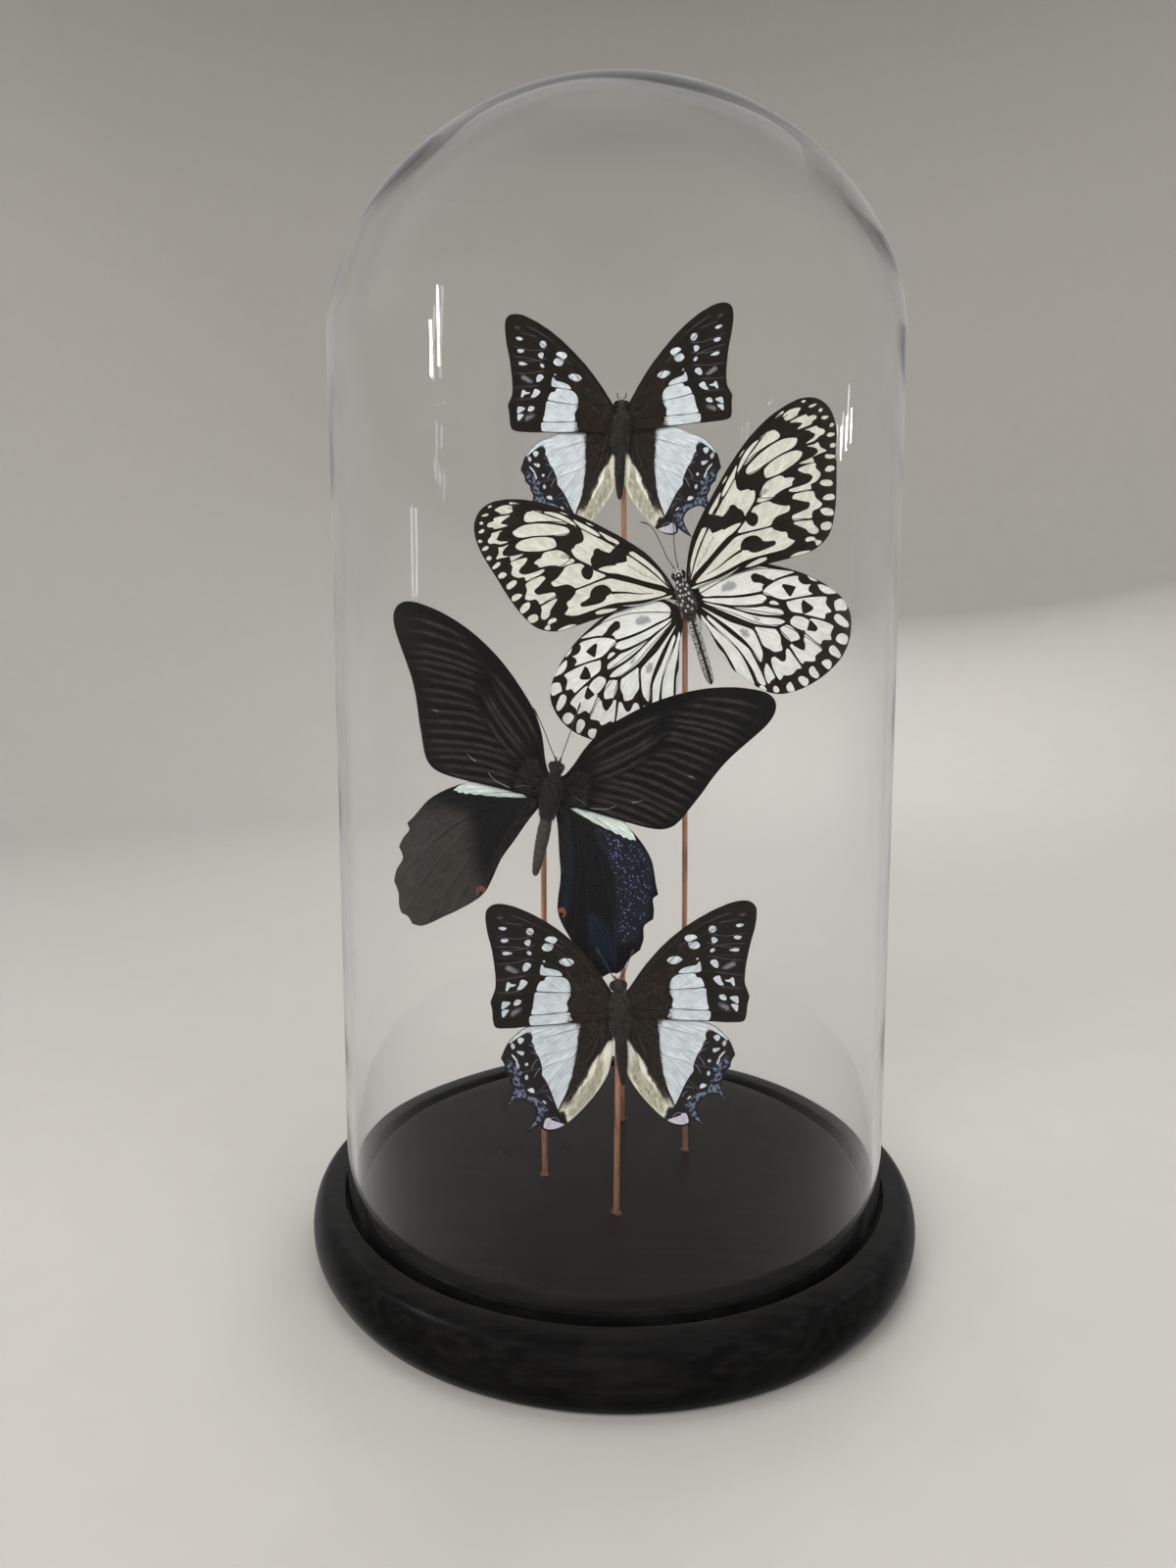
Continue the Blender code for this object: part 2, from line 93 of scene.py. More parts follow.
FRONT_FEELERS = {"r": [(1.5, 11.9, 0.9), (2.6, 14.0, 1.3), (4.0, 17.4, 1.5), (5.6, 21.0, 1.5)],
                 "l": [(-1.5, 11.9, 0.9), (-2.8, 14.4, 1.5), (-4.6, 18.4, 2.2), (-6.8, 22.6, 2.6)]}
LEFT_FEELERS = {"r": [(1.0, 12.0, 0.9), (1.8, 17.4, 1.4), (2.6, 22.7, 1.5), (3.3, 27.7, 1.5), (3.8, 33.0, 1.5)],
                "l": [(-1.2, 12.0, 0.9), (-3.6, 15.6, 1.8), (-6.0, 19.8, 2.6), (-8.9, 24.1, 3.2), (-11.8, 27.9, 3.6)]}
RIGHT_FEELERS = {"r": [(0.7, 13.8, 0.7), (0.9, 17.0, 1.2), (1.6, 21.0, 1.5), (2.8, 25.4, 1.5), (4.2, 30.4, 1.5)],
                 "l": [(-1.0, 13.8, 0.7), (-2.2, 17.8, 1.3), (-2.8, 22.3, 1.5), (-3.4, 26.6, 1.5),
                       (-4.3, 29.8, 1.5), (-5.7, 31.8, 1.5), (-7.8, 33.0, 1.5)]}
BACK_FEELERS = {"r": [(1.6, 10.9, 0.7), (1.7, 12.2, 0.8)], "l": [(-1.6, 10.9, 0.7), (-1.7, 12.2, 0.8)]}

INSECTS = {
    "front_nawab": dict(kind="nawab", body=NAWAB_BODY, feelers=FRONT_FEELERS, at=(2.2, -44.3, 96.7),
                        crown=11.0, lean=-3.2, turn=-7.0, dihedral=8.0, size=1.0,
                        fore_r=(-3.8, 0, 0), fore_l=(3.8, 0, 0), hind_r=(-4.8, 0, 0), hind_l=(4.8, 0, 0)),
    "left_swallowtail": dict(kind="swallowtail", body=SWALLOW_BODY, feelers=LEFT_FEELERS,
                             at=(-21.8, -19.6, 168.2), crown=11.0, lean=11.5, turn=2.0, dihedral=8.0,
                             size=1.0, fore_r=(-3, 0, 0), fore_l=(3, 0, 0), hind_r=(-4.1, 0, 0),
                             hind_l=(4.1, 0, 0)),
    "right_kite": dict(kind="kite", body=KITE_BODY, feelers=RIGHT_FEELERS, at=(27.0, 3.2, 235.7),
                       crown=12.8, lean=-17.6, turn=5.0, dihedral=6.0, size=1.0,
                       fore_r=(-1.0, -0.6, 0.2), fore_l=(1.0, 0.6, -0.2), hind_r=(-3.6, 0, 0),
                       hind_l=(3.6, 1.2, -3.6)),
    "back_nawab": dict(kind="nawab", body=NAWAB_BODY, feelers=BACK_FEELERS, at=(2.6, 29.2, 305.7),
                       crown=10.0, lean=0.8, turn=3.5, dihedral=8.0, size=1.02,
                       fore_r=(6.1, 0, 0), fore_l=(0.9, 0, 0), hind_r=(-4.6, 0.4, 0.8),
                       hind_l=(-5.2, 0.4, 0.8)),
}
RODS = {"rod_front": ((1.4, -38.8), (1.8, -38.8), 98.0), "rod_left": ((-25.4, -13.1), (-25.2, -13.1), 169.0),
        "rod_right": ((28.9, 8.7), (26.8, 8.7), 237.0), "rod_back": ((4.1, 34.7), (3.9, 34.7), 307.0)}

# ------------------------------------------------------------------ wing markings
# Every marking is a small closed shape in the wing's own plane, in mm.
KF_PALE = [
    [(14.3, 28.2), (15.1, 29.5), (17.5, 32), (19.9, 34.2), (20.3, 33.6), (19.6, 32.6), (18.4, 30.7), (16.5, 28.6), (15.6, 27.4), (14.8, 27.8)],
    [(20.5, 32.4), (20.8, 33.6), (22.5, 35.6), (24.6, 37.8), (26.5, 39.5), (28, 40.9), (27.8, 39.9), (26.8, 38.2), (26.2, 37), (24, 35), (21.6, 32.9)],
    [(21.6, 36.5), (22.8, 37.8), (24, 38.6), (23.2, 37.5)],
    [(27.8, 37.9), (28.2, 39.6), (30.5, 42.5), (33, 44.6), (35.5, 46), (37.6, 46.6), (37.2, 45.7), (35, 44.2), (32, 42), (29.5, 39.5)],
    [(38, 46.3), (39.5, 47.6), (41.5, 48.4), (42, 48.2), (40.2, 47.2)],
    [(29.5, 43), (31, 44.4), (32.3, 45), (31, 43.9)],
    [(30.5, 40.2), (33, 42.3), (35.5, 44), (38.5, 46.1), (41.5, 48), (43.7, 48.4), (44.9, 47.5), (45.5, 46), (44.6, 44.9), (42, 44.3), (39, 43.6), (35, 42), (32, 40.5)],
    [(30.7, 37.6), (31.5, 39), (34, 40.5), (38, 42.3), (43, 43.8), (47, 44.2), (50.5, 43.3), (50.8, 42.6), (50, 41.2), (48, 40.2), (44, 39.6), (40, 38.6), (36, 37.2), (33, 36.5), (31.2, 36.6)],
    [(36.7, 35.2), (37.2, 36.6), (40, 38), (44, 39), (48, 39.3), (50.2, 38.8), (51.3, 37.8), (50.6, 36.6), (48.5, 35.4), (45, 34.2), (41, 33.4), (37.5, 33.4), (36.6, 34.1)],
    [(31.8, 26.8), (32.4, 27.7), (34, 28.3), (34.2, 29.8), (35.1, 31.1), (36.8, 32.2), (39.4, 32.7), (41.6, 32.8), (42.7, 32.2), (43.3, 31.4), (45, 31.1), (46.4, 30.3), (45.3, 29.4), (44.8, 28.3), (41.6, 28), (38.7, 27.2), (37.2, 26.3), (33.1, 26.3)],
    [(16.3, 27), (18, 28.8), (21, 31.8), (24, 34.8), (26, 36.6), (26.4, 36), (26.2, 33.8), (27.2, 32.3), (30, 32), (30.6, 31.2), (31.8, 30.9), (31.9, 29.8), (31, 27.6), (29, 25.6), (27, 24), (26.4, 23.3), (26.3, 24.8), (25.8, 26), (24.8, 26.8), (24.2, 28), (23.5, 28.6), (22.3, 28.6), (21.4, 27.6), (19.8, 26.4), (18.6, 25.8), (17.6, 26.4), (17, 26.9)],
    [(1.2, 7.3), (3, 8.9), (6, 10.7), (10, 13), (14, 15.6), (18, 17.9), (20.5, 18.9), (22.5, 20), (24.3, 21.4), (22.5, 21.7), (20, 21.4), (17.8, 20.9), (17.5, 21.4), (15, 21.1), (13.5, 21.1), (13.2, 22.2), (12.8, 23), (11, 21.4), (8, 17.8), (5, 13.9), (2.6, 9.8)],
    [(0.9, 7.8), (1.4, 10.5), (3, 13.8), (5.2, 17.4), (7.6, 20.6), (9.6, 23.4), (10.5, 23.8), (12, 23.6), (10.5, 21.5), (7.5, 18), (4.6, 13.9), (2.2, 9.8)],
    [(22.4, 18.4), (24.2, 20.2), (26, 21.6), (27.5, 23.2), (28.8, 23.9), (30.1, 25.3), (33.1, 25.9), (35.7, 25.7), (37.2, 24.4), (40.1, 22.6), (42.2, 22), (42.2, 21.1), (41.3, 20.1), (37.2, 19.8), (35.3, 18.7), (34, 17.4), (30.1, 17.6), (26.5, 17.9)],
    [(2.8, 5.8), (4, 7), (8, 9.4), (12, 12), (16, 14.3), (20, 16.6), (22, 17.2), (26, 17.2), (30, 16.9), (34.2, 16.6), (34.8, 15.7), (37.2, 14), (38.7, 13.5), (39, 12.6), (38.9, 11.3), (40.1, 10.1), (40.9, 9.4), (39.4, 8.5), (36.4, 7.7), (32, 7.9), (26, 8.2), (22, 8.1), (19, 7.6), (15, 6.8), (10, 6), (5, 5.6)],
    [(21.6, 5.8), (23.5, 6.5), (27, 7.2), (29.5, 7), (29.7, 6.2), (28, 5.7), (24, 5.4)],
    [(37.8, 4.3), (39.5, 5), (41.5, 5.1), (43.5, 4.8), (45.4, 4.3), (44, 3.9), (40.5, 3.9)],
    [(48.2, 51.7), (49, 52.6), (50.5, 53.2), (52, 53.4), (54, 53.1), (54.8, 52.6), (53.5, 51.4), (53.1, 50.7), (50.5, 50.1), (48.7, 50.3), (48.7, 51.1)],
    [(45.4, 51.9), (46.5, 52.8), (48.6, 53.8), (49, 53.3), (47.5, 52.5)],
    [(50, 49.2), (52.4, 49.8), (55.9, 50), (56.4, 49), (58.3, 48.9), (59.2, 48.1), (58.7, 47.4), (57.4, 47), (56.6, 46.1), (52.4, 45.9), (52.2, 46.3), (53.9, 47.2), (53.9, 47.7), (52.7, 48.3)],
    [(54.2, 44.9), (56.1, 45), (58.3, 45), (58.9, 44), (60.1, 43.3), (60.6, 42.4), (60, 41.6), (58.3, 41.3), (56.4, 40.3), (53.5, 40.2), (54.2, 40.7), (56.1, 41.3), (57, 42), (57.2, 42.6), (56.4, 43.3), (55.5, 44.4)],
    [(53.5, 39.3), (55.7, 39.2), (57.4, 39.4), (57.6, 38.5), (57.9, 37.4), (59.2, 36.1), (59.2, 35.6), (57.2, 35.5), (54.4, 35), (54.4, 33.5), (52.4, 33.7), (49.4, 34.4), (50.1, 34.7), (53.1, 35), (55.7, 35.7), (56.6, 36.4), (56.3, 37.6), (55.1, 38.5)],
    [(48.3, 32.6), (49.4, 33.1), (53.5, 33.2), (54.8, 32.7), (54.4, 31.3), (55.5, 29.4), (55.1, 28.1), (53.5, 27), (51.3, 26.6), (51, 25), (48.3, 25.1), (43.9, 26.4), (43.7, 27.3), (46.8, 27.2), (50.5, 27.3), (52.4, 28.3), (52.6, 29.2), (51.6, 30.2), (49.8, 31.1)],
    [(43.9, 24), (45, 25.1), (48.3, 24.9), (51.4, 24.2), (51.7, 23.1), (51.8, 21.6), (53.3, 19.4), (53.1, 18.5), (51.6, 17.9), (49.8, 17.7), (48.9, 16.4), (48.7, 15.5), (46.8, 15.7), (42.7, 16.4), (42, 17.2), (42.6, 18.3), (46.1, 18.7), (48.3, 19), (49.2, 20), (49.2, 20.9), (46.8, 22.2), (45.2, 23.2)],
    [(42, 15.5), (43.1, 15.8), (46.8, 15), (48.5, 14.6), (48.7, 13.1), (49.8, 10.9), (49.4, 9.8), (48.1, 9.6), (46.4, 10.7), (45.7, 12.2), (44.2, 13.5), (42.7, 14.8)],
    [(44.4, 8.5), (45.3, 9.2), (47.2, 8.9), (48.3, 7.4), (49.8, 6.4), (49, 5.5), (47.7, 5.5), (47.6, 6.8), (46.4, 7.6), (45, 7.7)],
    [(0.8, 4.4), (1.5, 4.8), (4, 4.9), (8, 4.9), (12, 5.0), (16, 5.6), (19.5, 6.4), (16, 5.2), (12.5, 4.5), (10, 4.3), (6, 4.2), (2.5, 3.9)],
]
KF_RIM = [
    [(55.4, 54.5), (56.2, 54.8), (57, 54.4), (56.2, 54)], [(57.4, 52), (58.2, 52.4), (60, 52.2), (59.9, 51.8), (58.2, 51.5)],
    [(60.2, 49.6), (60.9, 50.2), (61.7, 49.6), (60.8, 49)], [(60.5, 46.9), (61.3, 47.5), (63, 46.7), (61.6, 46.1)],
    [(62.4, 43.4), (63.4, 44.2), (64.1, 43.5), (63.2, 42.9)], [(60.8, 40.7), (62, 41.3), (63.6, 40.4), (62.6, 39.8), (61.4, 40)],
    [(60.8, 36.7), (61.8, 37.6), (63, 36.8), (62, 35.9)], [(58.4, 34), (59.2, 34.5), (61.6, 33.3), (61.5, 32.6), (60, 32.7), (58.6, 33.4)],
    [(57.3, 29.7), (58.6, 30.6), (60.3, 30), (60.5, 28.9), (59, 28.5), (57.6, 29)], [(54.6, 26.2), (55.8, 26.7), (58.2, 25.8), (58.8, 24.5), (57.8, 23.9), (55.8, 24.6), (54.7, 25.4)],
    [(54, 20.6), (55.5, 21.5), (57.6, 21.2), (58.3, 20), (57.6, 19.2), (55.6, 19.6)], [(52.4, 17.4), (54.5, 17.2), (56.4, 15.8), (56.3, 14.2), (55.2, 14.1), (53.3, 14.9), (52.3, 16.2)],
    [(50.9, 11.9), (52, 12.5), (53.9, 12.3), (54.8, 11.3), (54.2, 10), (52.8, 9.6), (51, 10.3)],
]
KF_DARK = [
    [(26.2, 21.5), (27, 23.2), (28.6, 24), (30.2, 23.2), (30.7, 21.9), (30.2, 20), (28.6, 18.9), (27.2, 19.6)],
    [(7.5, 7.4), (12, 8.4), (16, 9.9), (20, 11.1), (22, 11.5), (22, 12.5), (20, 12.0), (16, 10.6), (12, 8.8), (7.5, 7.6)],
    [(21.7, 12.4), (22.2, 14), (23.4, 15.4), (25, 16), (27, 16), (28.8, 15.2), (29.8, 13.8), (30.2, 12.9), (32, 12.2), (33.8, 11.8), (34.4, 11.1), (33.8, 10.2), (31, 9.8), (28, 9.6), (26, 9.8), (24.6, 10.6), (24.2, 11.3), (23, 11.6)],
]
KF_GREY = [[(33.6, 28.6), (34.6, 30.2), (36, 30.3), (36.6, 29.4), (35.6, 28.6)],
           [(5, 11.2), (9, 14.6), (14, 19.6), (13.6, 19.9), (9, 15.4), (5, 11.9)]]
KF_VEINS = [
    ([(1.2, 8), (3.0, 14.6), (7.6, 21.4), (13.4, 28.2), (19, 33.4), (26, 39.6), (33, 44.9), (41, 49.8), (48, 53)], 0.75, 0.35),
    ([(1.0, 7.4), (2.6, 13.2), (6.4, 19.4), (10.8, 24.4), (14.4, 27.0), (17.4, 29.4), (21.5, 32.4), (26.8, 37.4), (29.9, 39.8), (33.5, 43.0), (38, 46.2), (44, 50), (50, 52)], 0.6, 0.3),
    ([(1.1, 7.5), (3, 10.6), (5.6, 14.5), (8.6, 18.4), (11.2, 21.6), (13.6, 24)], 0.35, 0.25),
    ([(1.6, 6.6), (6, 9.9), (10, 12.4), (14, 14.9), (18, 17.2), (22, 18.9), (26.3, 22.6), (31, 26.4), (33.4, 30.6), (36.4, 33), (36, 36.8)], 0.5, 0.35),
    ([(30.4, 36.8), (34, 37), (40, 38.4), (48, 39.9), (55, 40), (62, 38.6)], 0.3, 0.25),
    ([(36.4, 33), (42, 33.3), (48, 34.9), (54, 35.2), (61, 34.9)], 0.3, 0.25),
    ([(33.4, 30.6), (32.6, 28.3), (37, 26.6), (43, 25.8), (50, 25.1), (57, 22.6)], 0.3, 0.25),
    ([(22, 17.8), (28, 17.4), (34.4, 17), (41, 17.2), (48.4, 15.2), (55, 13.2)], 0.3, 0.25),
    ([(30, 40.2), (36, 42.6), (43, 44.2), (50, 45), (57, 45.6), (62.6, 45.2)], 0.3, 0.25),
    ([(2.2, 5.2), (9, 5.5), (16, 6.4), (22, 7.6), (30, 7.6), (38, 7.4), (44, 7.2), (51, 7.6)], 0.4, 0.25),
]
KH_PALE = [
    [(2.4, 3.8), (5, 6.8), (9, 8.0), (13, 8.6), (17, 8.4), (21, 7.6), (24, 6.6), (27, 5.4), (31.5, 3.2), (35, 1.8), (37.3, 0.7), (34, 0.5), (30.5, 0.2), (28, -0.6), (25.2, -1), (24.5, -2.7), (20, -2.5), (14, -1.7), (8, -0.2), (3.5, 0.8)],
    [(3.2, 0), (9, -1.4), (15, -2.8), (20, -3.6), (24.2, -4), (25.7, -5.6), (24.5, -6.6), (23.5, -7), (20, -6.7), (16, -5.8), (12, -4.7), (9.8, -3.7), (6.5, -2.4), (3.2, -0.7)],
    [(13, -5.6), (17, -7), (21, -8), (24.5, -8.5), (26.5, -9.6), (29, -10.6), (30.2, -11.6), (30.4, -12.7), (29.6, -13), (26.5, -12.2), (23, -11.1), (19, -9.3), (15.5, -7.4)],
    [(26.2, -7.8), (27, -7.1), (28.3, -7.4), (29.5, -8.7), (29.2, -9.1), (27.6, -8.6)],
    [(3, -1.3), (6, -2.8), (10, -4.9), (14, -7.2), (18, -9.7), (21, -11.3), (24, -12.5), (28, -13.9), (30.2, -15.5), (29.5, -16), (27, -16.4), (24.5, -15.8), (20, -14), (17, -12.2), (13, -9.2), (9, -6.2), (5, -3.1)],
    [(24.8, -3.2), (27, -1.7), (29.5, -0.9), (32.5, -0.4), (36, -0.5), (38.3, -1), (38.1, -2.2), (39, -3.9), (40.5, -4.7), (42.1, -5), (41.2, -5.8), (40.9, -7.2), (42, -8.5), (39.5, -8.4), (35.5, -8.1), (32, -7.8), (30, -7), (28, -5.8), (25.8, -4.5)],
    [(32.3, -9), (34, -8.8), (38, -9), (42, -9.6), (45.5, -10.4), (46.7, -11), (46, -12.4), (46.2, -13.8), (47.2, -15.8), (47, -16.4), (45.2, -16.4), (44.6, -17.8), (44, -18), (41, -16.4), (38.2, -15), (37.2, -14.3), (34, -13), (32.8, -11.6)],
    [(32.1, -16), (33, -15), (34.5, -14.5), (36.8, -15.6), (38.5, -17), (38.2, -18.5), (36.8, -20.3), (35.6, -20.2), (33.5, -18.6), (32.3, -17.4)],
    [(38.8, -17.3), (40, -16.9), (43, -18.4), (45.5, -20), (46.9, -21.5), (46, -22.8), (45.2, -24.2), (45.2, -25.8), (44.4, -26), (42.5, -25.5), (41.5, -25.9), (41, -26.8), (39.5, -25.6), (37.5, -22.6), (36.4, -20.8)],
    [(36, -22), (37, -22.6), (39, -25.6), (40.6, -27.6), (40.9, -29), (39.3, -29.8), (38, -30.6), (37.6, -32.2), (36, -32.2), (34, -31.6), (32.8, -32.3), (31.8, -30.2), (30.6, -26.6), (29.9, -24.5), (31, -24.3), (35.2, -23.8)],
    [(27.8, -18), (29, -17.2), (30.7, -17), (32.3, -18.4), (33.6, -20.4), (34, -22), (33.8, -23.2), (31.2, -23.4), (30.5, -23.4), (28.8, -20.8)],
    [(19.2, -15), (21.5, -15.8), (24.5, -16.9), (26.2, -17.6), (26.9, -19), (27.4, -21), (27, -23), (27, -25.6), (24.8, -25.8), (23.8, -25.5), (22.5, -24.2), (20.8, -22.6), (20, -20), (19.4, -17.5)],
    [(22.2, -28.5), (22.8, -27.5), (23.8, -27.4), (24.8, -28.6), (25.8, -29.7), (27, -29.8), (27.7, -28.5), (28, -26.6), (28.6, -25.6), (29.3, -26), (30.5, -29), (32.2, -33.4), (31.6, -33.8), (30.4, -33.8), (28.8, -35), (27, -35.2), (25.4, -34.8), (24.4, -35.8), (23.6, -36), (22.8, -34), (22.2, -31)],
    [(19.5, -30.2), (20.3, -29), (21.2, -31), (22.2, -34.6), (20.8, -35.4), (19.4, -36.4), (18.8, -34), (18.8, -32)],
    [(2, -3), (7, -7.5), (11, -11), (15, -13.5), (17.8, -15.5), (18.6, -17), (19.2, -20), (19.8, -24), (19.4, -26.5), (18.5, -28), (17.8, -27.5), (16.8, -24.5), (16, -21.8), (14, -18), (10, -12.5), (6, -7.8), (3, -4.4)],
    [(3.5, -6.5), (7, -11.2), (10.5, -16), (13.5, -19.8), (15.3, -22.5), (16.3, -26), (17.3, -30), (18, -33), (18.4, -36.4), (17, -36.2), (15.8, -34.5), (15.2, -31), (13.6, -26), (11.5, -21.3), (8, -16.5), (5, -11.5), (3, -7.5)],
    [(1, -5.5), (3.5, -10), (6.5, -14.5), (9.5, -19), (11.3, -22), (12.8, -26.5), (13.8, -31), (14.5, -35.8), (13.9, -36.6), (12, -35), (10.2, -33.2), (9.3, -31), (8.2, -26), (6.3, -20), (3.8, -14.5), (1.5, -10)],
    [(2.2, -14), (4.2, -18.6), (6, -22), (7.2, -26), (8.4, -30.3), (7.9, -29.4), (6.4, -25), (5, -21)],
]
KH_RIM = [
    [(41.5, -1.8), (42.5, -2.4), (44.2, -3.9), (44.6, -4.6), (43.6, -4.3), (42.2, -3.2)], [(44.5, -5.8), (46.2, -6.4), (48, -7.6), (50.2, -8.8), (51.4, -10), (50.4, -10.5), (47.8, -10.1), (46.2, -9.3), (45, -7.8)],
    [(48.8, -13.8), (49.4, -12.9), (51.4, -12.7), (52.8, -13.8), (53.2, -15.4), (52.8, -16.8), (52, -17.1), (50.2, -16.6), (48.9, -16.2)],
    [(47.7, -18.8), (48.4, -17.7), (49.6, -17.7), (50.8, -19), (52.2, -21.2), (52.3, -22.7), (51.6, -23.1), (50, -22.2), (48.6, -20.8)],
    [(46.7, -26.2), (47.8, -24.8), (49.6, -24.7), (51, -26), (50.9, -27.6), (49.8, -28.9), (48.2, -28.4), (47, -27.2)],
    [(43.3, -29.5), (44.2, -28.3), (45.6, -28.4), (46.8, -30.6), (47.1, -32.4), (46.2, -33.3), (44.8, -32.2), (43.6, -31)],
    [(39.7, -33.4), (41.2, -32.7), (42.6, -33), (43.2, -34.6), (42.2, -36.3), (41.2, -36.2), (40.2, -34.8)],
    [(34.6, -35.2), (35.6, -34), (36.6, -34.3), (37.4, -36.2), (37.8, -37.8), (36.8, -38.7), (35.4, -37.8), (34.7, -36.6)],
    [(30.2, -37.2), (31, -36.5), (32.2, -36.8), (33.6, -38.2), (33.4, -39.7), (32.4, -40.5), (31.2, -39.8), (30.4, -38.4)],
    [(25.4, -39.3), (26, -38.2), (27.2, -37.6), (27.8, -38.8), (28.1, -41), (27, -41.3), (25.8, -40.8)],
    [(20.6, -38.8), (21.2, -37.7), (22.2, -38), (22.8, -39.4), (22.2, -40.2), (21, -39.9)], [(15.8, -36.9), (16.8, -36.2), (17.8, -37), (18.3, -38.4), (17.6, -38.8), (16.6, -38)],
]
KH_DARK = [
    [(21.8, 3.4), (23.3, 4.1), (25, 3.2), (26.5, 2.2), (27.6, 1), (29.5, -0.2), (27.5, -0.7), (26, -0.9), (24.6, 0.2), (22.5, 0.9), (21.9, 1.9)],
    [(32, -2.8), (32.9, -2.4), (36.4, -4.2), (36.6, -4.8), (35.2, -6.4), (34.1, -7.3), (33.4, -6.4), (32.5, -4.2)],
    [(38.5, -9.7), (39.6, -11), (41.3, -13), (40.8, -14), (38.5, -14.6), (37.2, -14.2), (37.2, -12.2), (37.6, -10.4)],
    [(39.2, -17.2), (40.6, -19.2), (41.2, -20.8), (40.2, -21.8), (38.6, -21.2), (37.3, -20.6), (38.2, -18.8)],
    [(31, -24.3), (33, -23.5), (35.2, -23.8), (35.4, -26), (34.6, -27.6), (33.6, -27.2), (32, -25.8)],
]
KH_GREY = [[(10.2, 1.2), (11.3, 2.9), (13.5, 3.6), (15.6, 3), (16.1, 1.6), (15.2, 0.5), (13, 0.3), (10.6, 0.8)],
           [(19.3, -10.8), (20.6, -11.6), (21.8, -12.6), (21, -12.9), (19.8, -12.3)],
           [(13.5, -14.6), (15, -14.3), (16.6, -16.2), (16.4, -17.8), (15, -17.9), (13.9, -16.8)]]
KH_VEINS = [
    ([(2, 0.4), (8, -0.8), (15, -2.3), (21, -3.1), (25.2, -3.4), (31, -8.3), (38, -8.7), (45, -9.6), (51, -11.6)], 0.26, 0.24),
    ([(2, -0.6), (7, -2.9), (12.5, -5.4), (18, -7.9), (25, -10.9), (30.6, -13.2), (36, -15), (43, -18.2), (51, -24)], 0.26, 0.24),
    ([(2, -1.2), (8, -5.0), (14, -9), (19.4, -13), (24, -15.4), (29, -16.7), (34.6, -21.2), (39, -26), (45, -34)], 0.26, 0.24),
    ([(2, -2.6), (8, -7.7), (14, -12.4), (18.8, -15.3), (20.4, -22.4), (21.6, -27), (22.3, -34), (23.8, -40)], 0.26, 0.24),
    ([(2.4, -4.8), (7, -9.9), (12, -15.4), (15.9, -21.7), (18.3, -29), (18.9, -38)], 0.3, 0.22),
    ([(2, -6.4), (6, -12.6), (10.4, -19.2), (13.4, -26), (15, -33), (15.2, -36.2)], 0.3, 0.22),
    ([(1.8, -9), (4.8, -17.6), (7.2, -23.6), (8.9, -30.2)], 0.3, 0.2),
    ([(27.6, -25), (30.6, -23.8), (27.6, -17.6)], 0.3, 0.3),
    ([(2, 2), (10, 4.2), (18, 5.6), (26, 5.0), (34, 2.6), (41, -1)], 0.4, 0.25),
]
NF_PALE = [
    [(35.2, 30.1), (36.5, 30.6), (37.9, 30.3), (36.8, 29.5), (35.8, 29.5)], [(34.6, 26.2), (35.5, 26.6), (37.1, 26.4), (36.8, 25.6), (36, 25.3), (35, 25.6)],
    [(33.2, 21.6), (35, 22.3), (36.4, 22.1), (36.5, 21.6), (35.8, 21.1), (34, 21.3)], [(32, 11.2), (33.5, 11.4), (34.4, 12.2), (35, 11.8), (35.4, 9.5), (34.9, 9.2), (34, 10.4), (32.8, 10.6)],
    [(34, 5.4), (36.4, 5.7), (36.8, 3.5), (36.2, 3.2), (34.2, 4.6)], [(34.3, 2.6), (35, 3), (36.6, 2.6), (36.6, 0.9), (36, 0.5)],
    [(26.3, 28.6), (27, 29.7), (28.3, 29.6), (28.8, 28.6), (28, 27.5), (26.7, 27.6)], [(27.3, 25.6), (28.3, 25.9), (29.4, 25), (28.4, 23.9), (27.6, 24)],
    [(26.9, 21.2), (27.8, 22.1), (28.6, 21.6), (27.6, 20.6)], [(27.1, 17), (27.6, 18), (29, 18.1), (29.8, 16.8), (29.6, 15.4), (28.4, 15.6)],
    [(28.2, 11.6), (29, 12.4), (30.3, 12.6), (31, 10.8), (31.7, 9.6), (30.6, 9.3), (29, 10.4)], [(30.2, 5.6), (31.6, 6.2), (32.6, 5.4), (32.6, 4.2), (31, 4.4)],
    [(18.4, 25.3), (19.5, 26.4), (21.5, 26.5), (22.6, 25.6), (21, 24.6), (19.5, 24.1)], [(19.6, 23.4), (20.8, 24.1), (22.6, 24.2), (23.6, 22.8), (22.4, 21.7), (20.5, 21.8)],
    [(12.7, 17.5), (13.8, 18.6), (16, 19), (17.8, 18.1), (16.6, 16.8), (14.8, 16.2), (13.4, 16.6)],
    [(16.7, 13.2), (17.6, 14.6), (20, 15.6), (22.6, 16.2), (23.4, 17.4), (23.9, 16.4), (23.9, 14), (20, 13.4)],
    [(22.4, 18.3), (22.8, 18.7), (23.2, 18.3), (22.8, 17.9)],
    [(13.7, 7.9), (14.1, 10.2), (15, 11.7), (16.8, 12.7), (21.8, 13.2), (22.6, 12), (24.1, 11.6), (25, 9.9), (24.9, 8.6), (20, 8), (15, 7.5)],
    [(13.8, 7.2), (20, 7.7), (25.4, 8.2), (26, 6), (26.4, 3), (26.6, 0.8), (20, 0.9), (14.8, 1.2), (15, 4)],
    [(14.3, 0.8), (20, 0.5), (26.8, 0.4), (27.6, -0.8), (27.4, -2.2), (26, -3), (14, -2.6), (13.9, -0.5)],
]
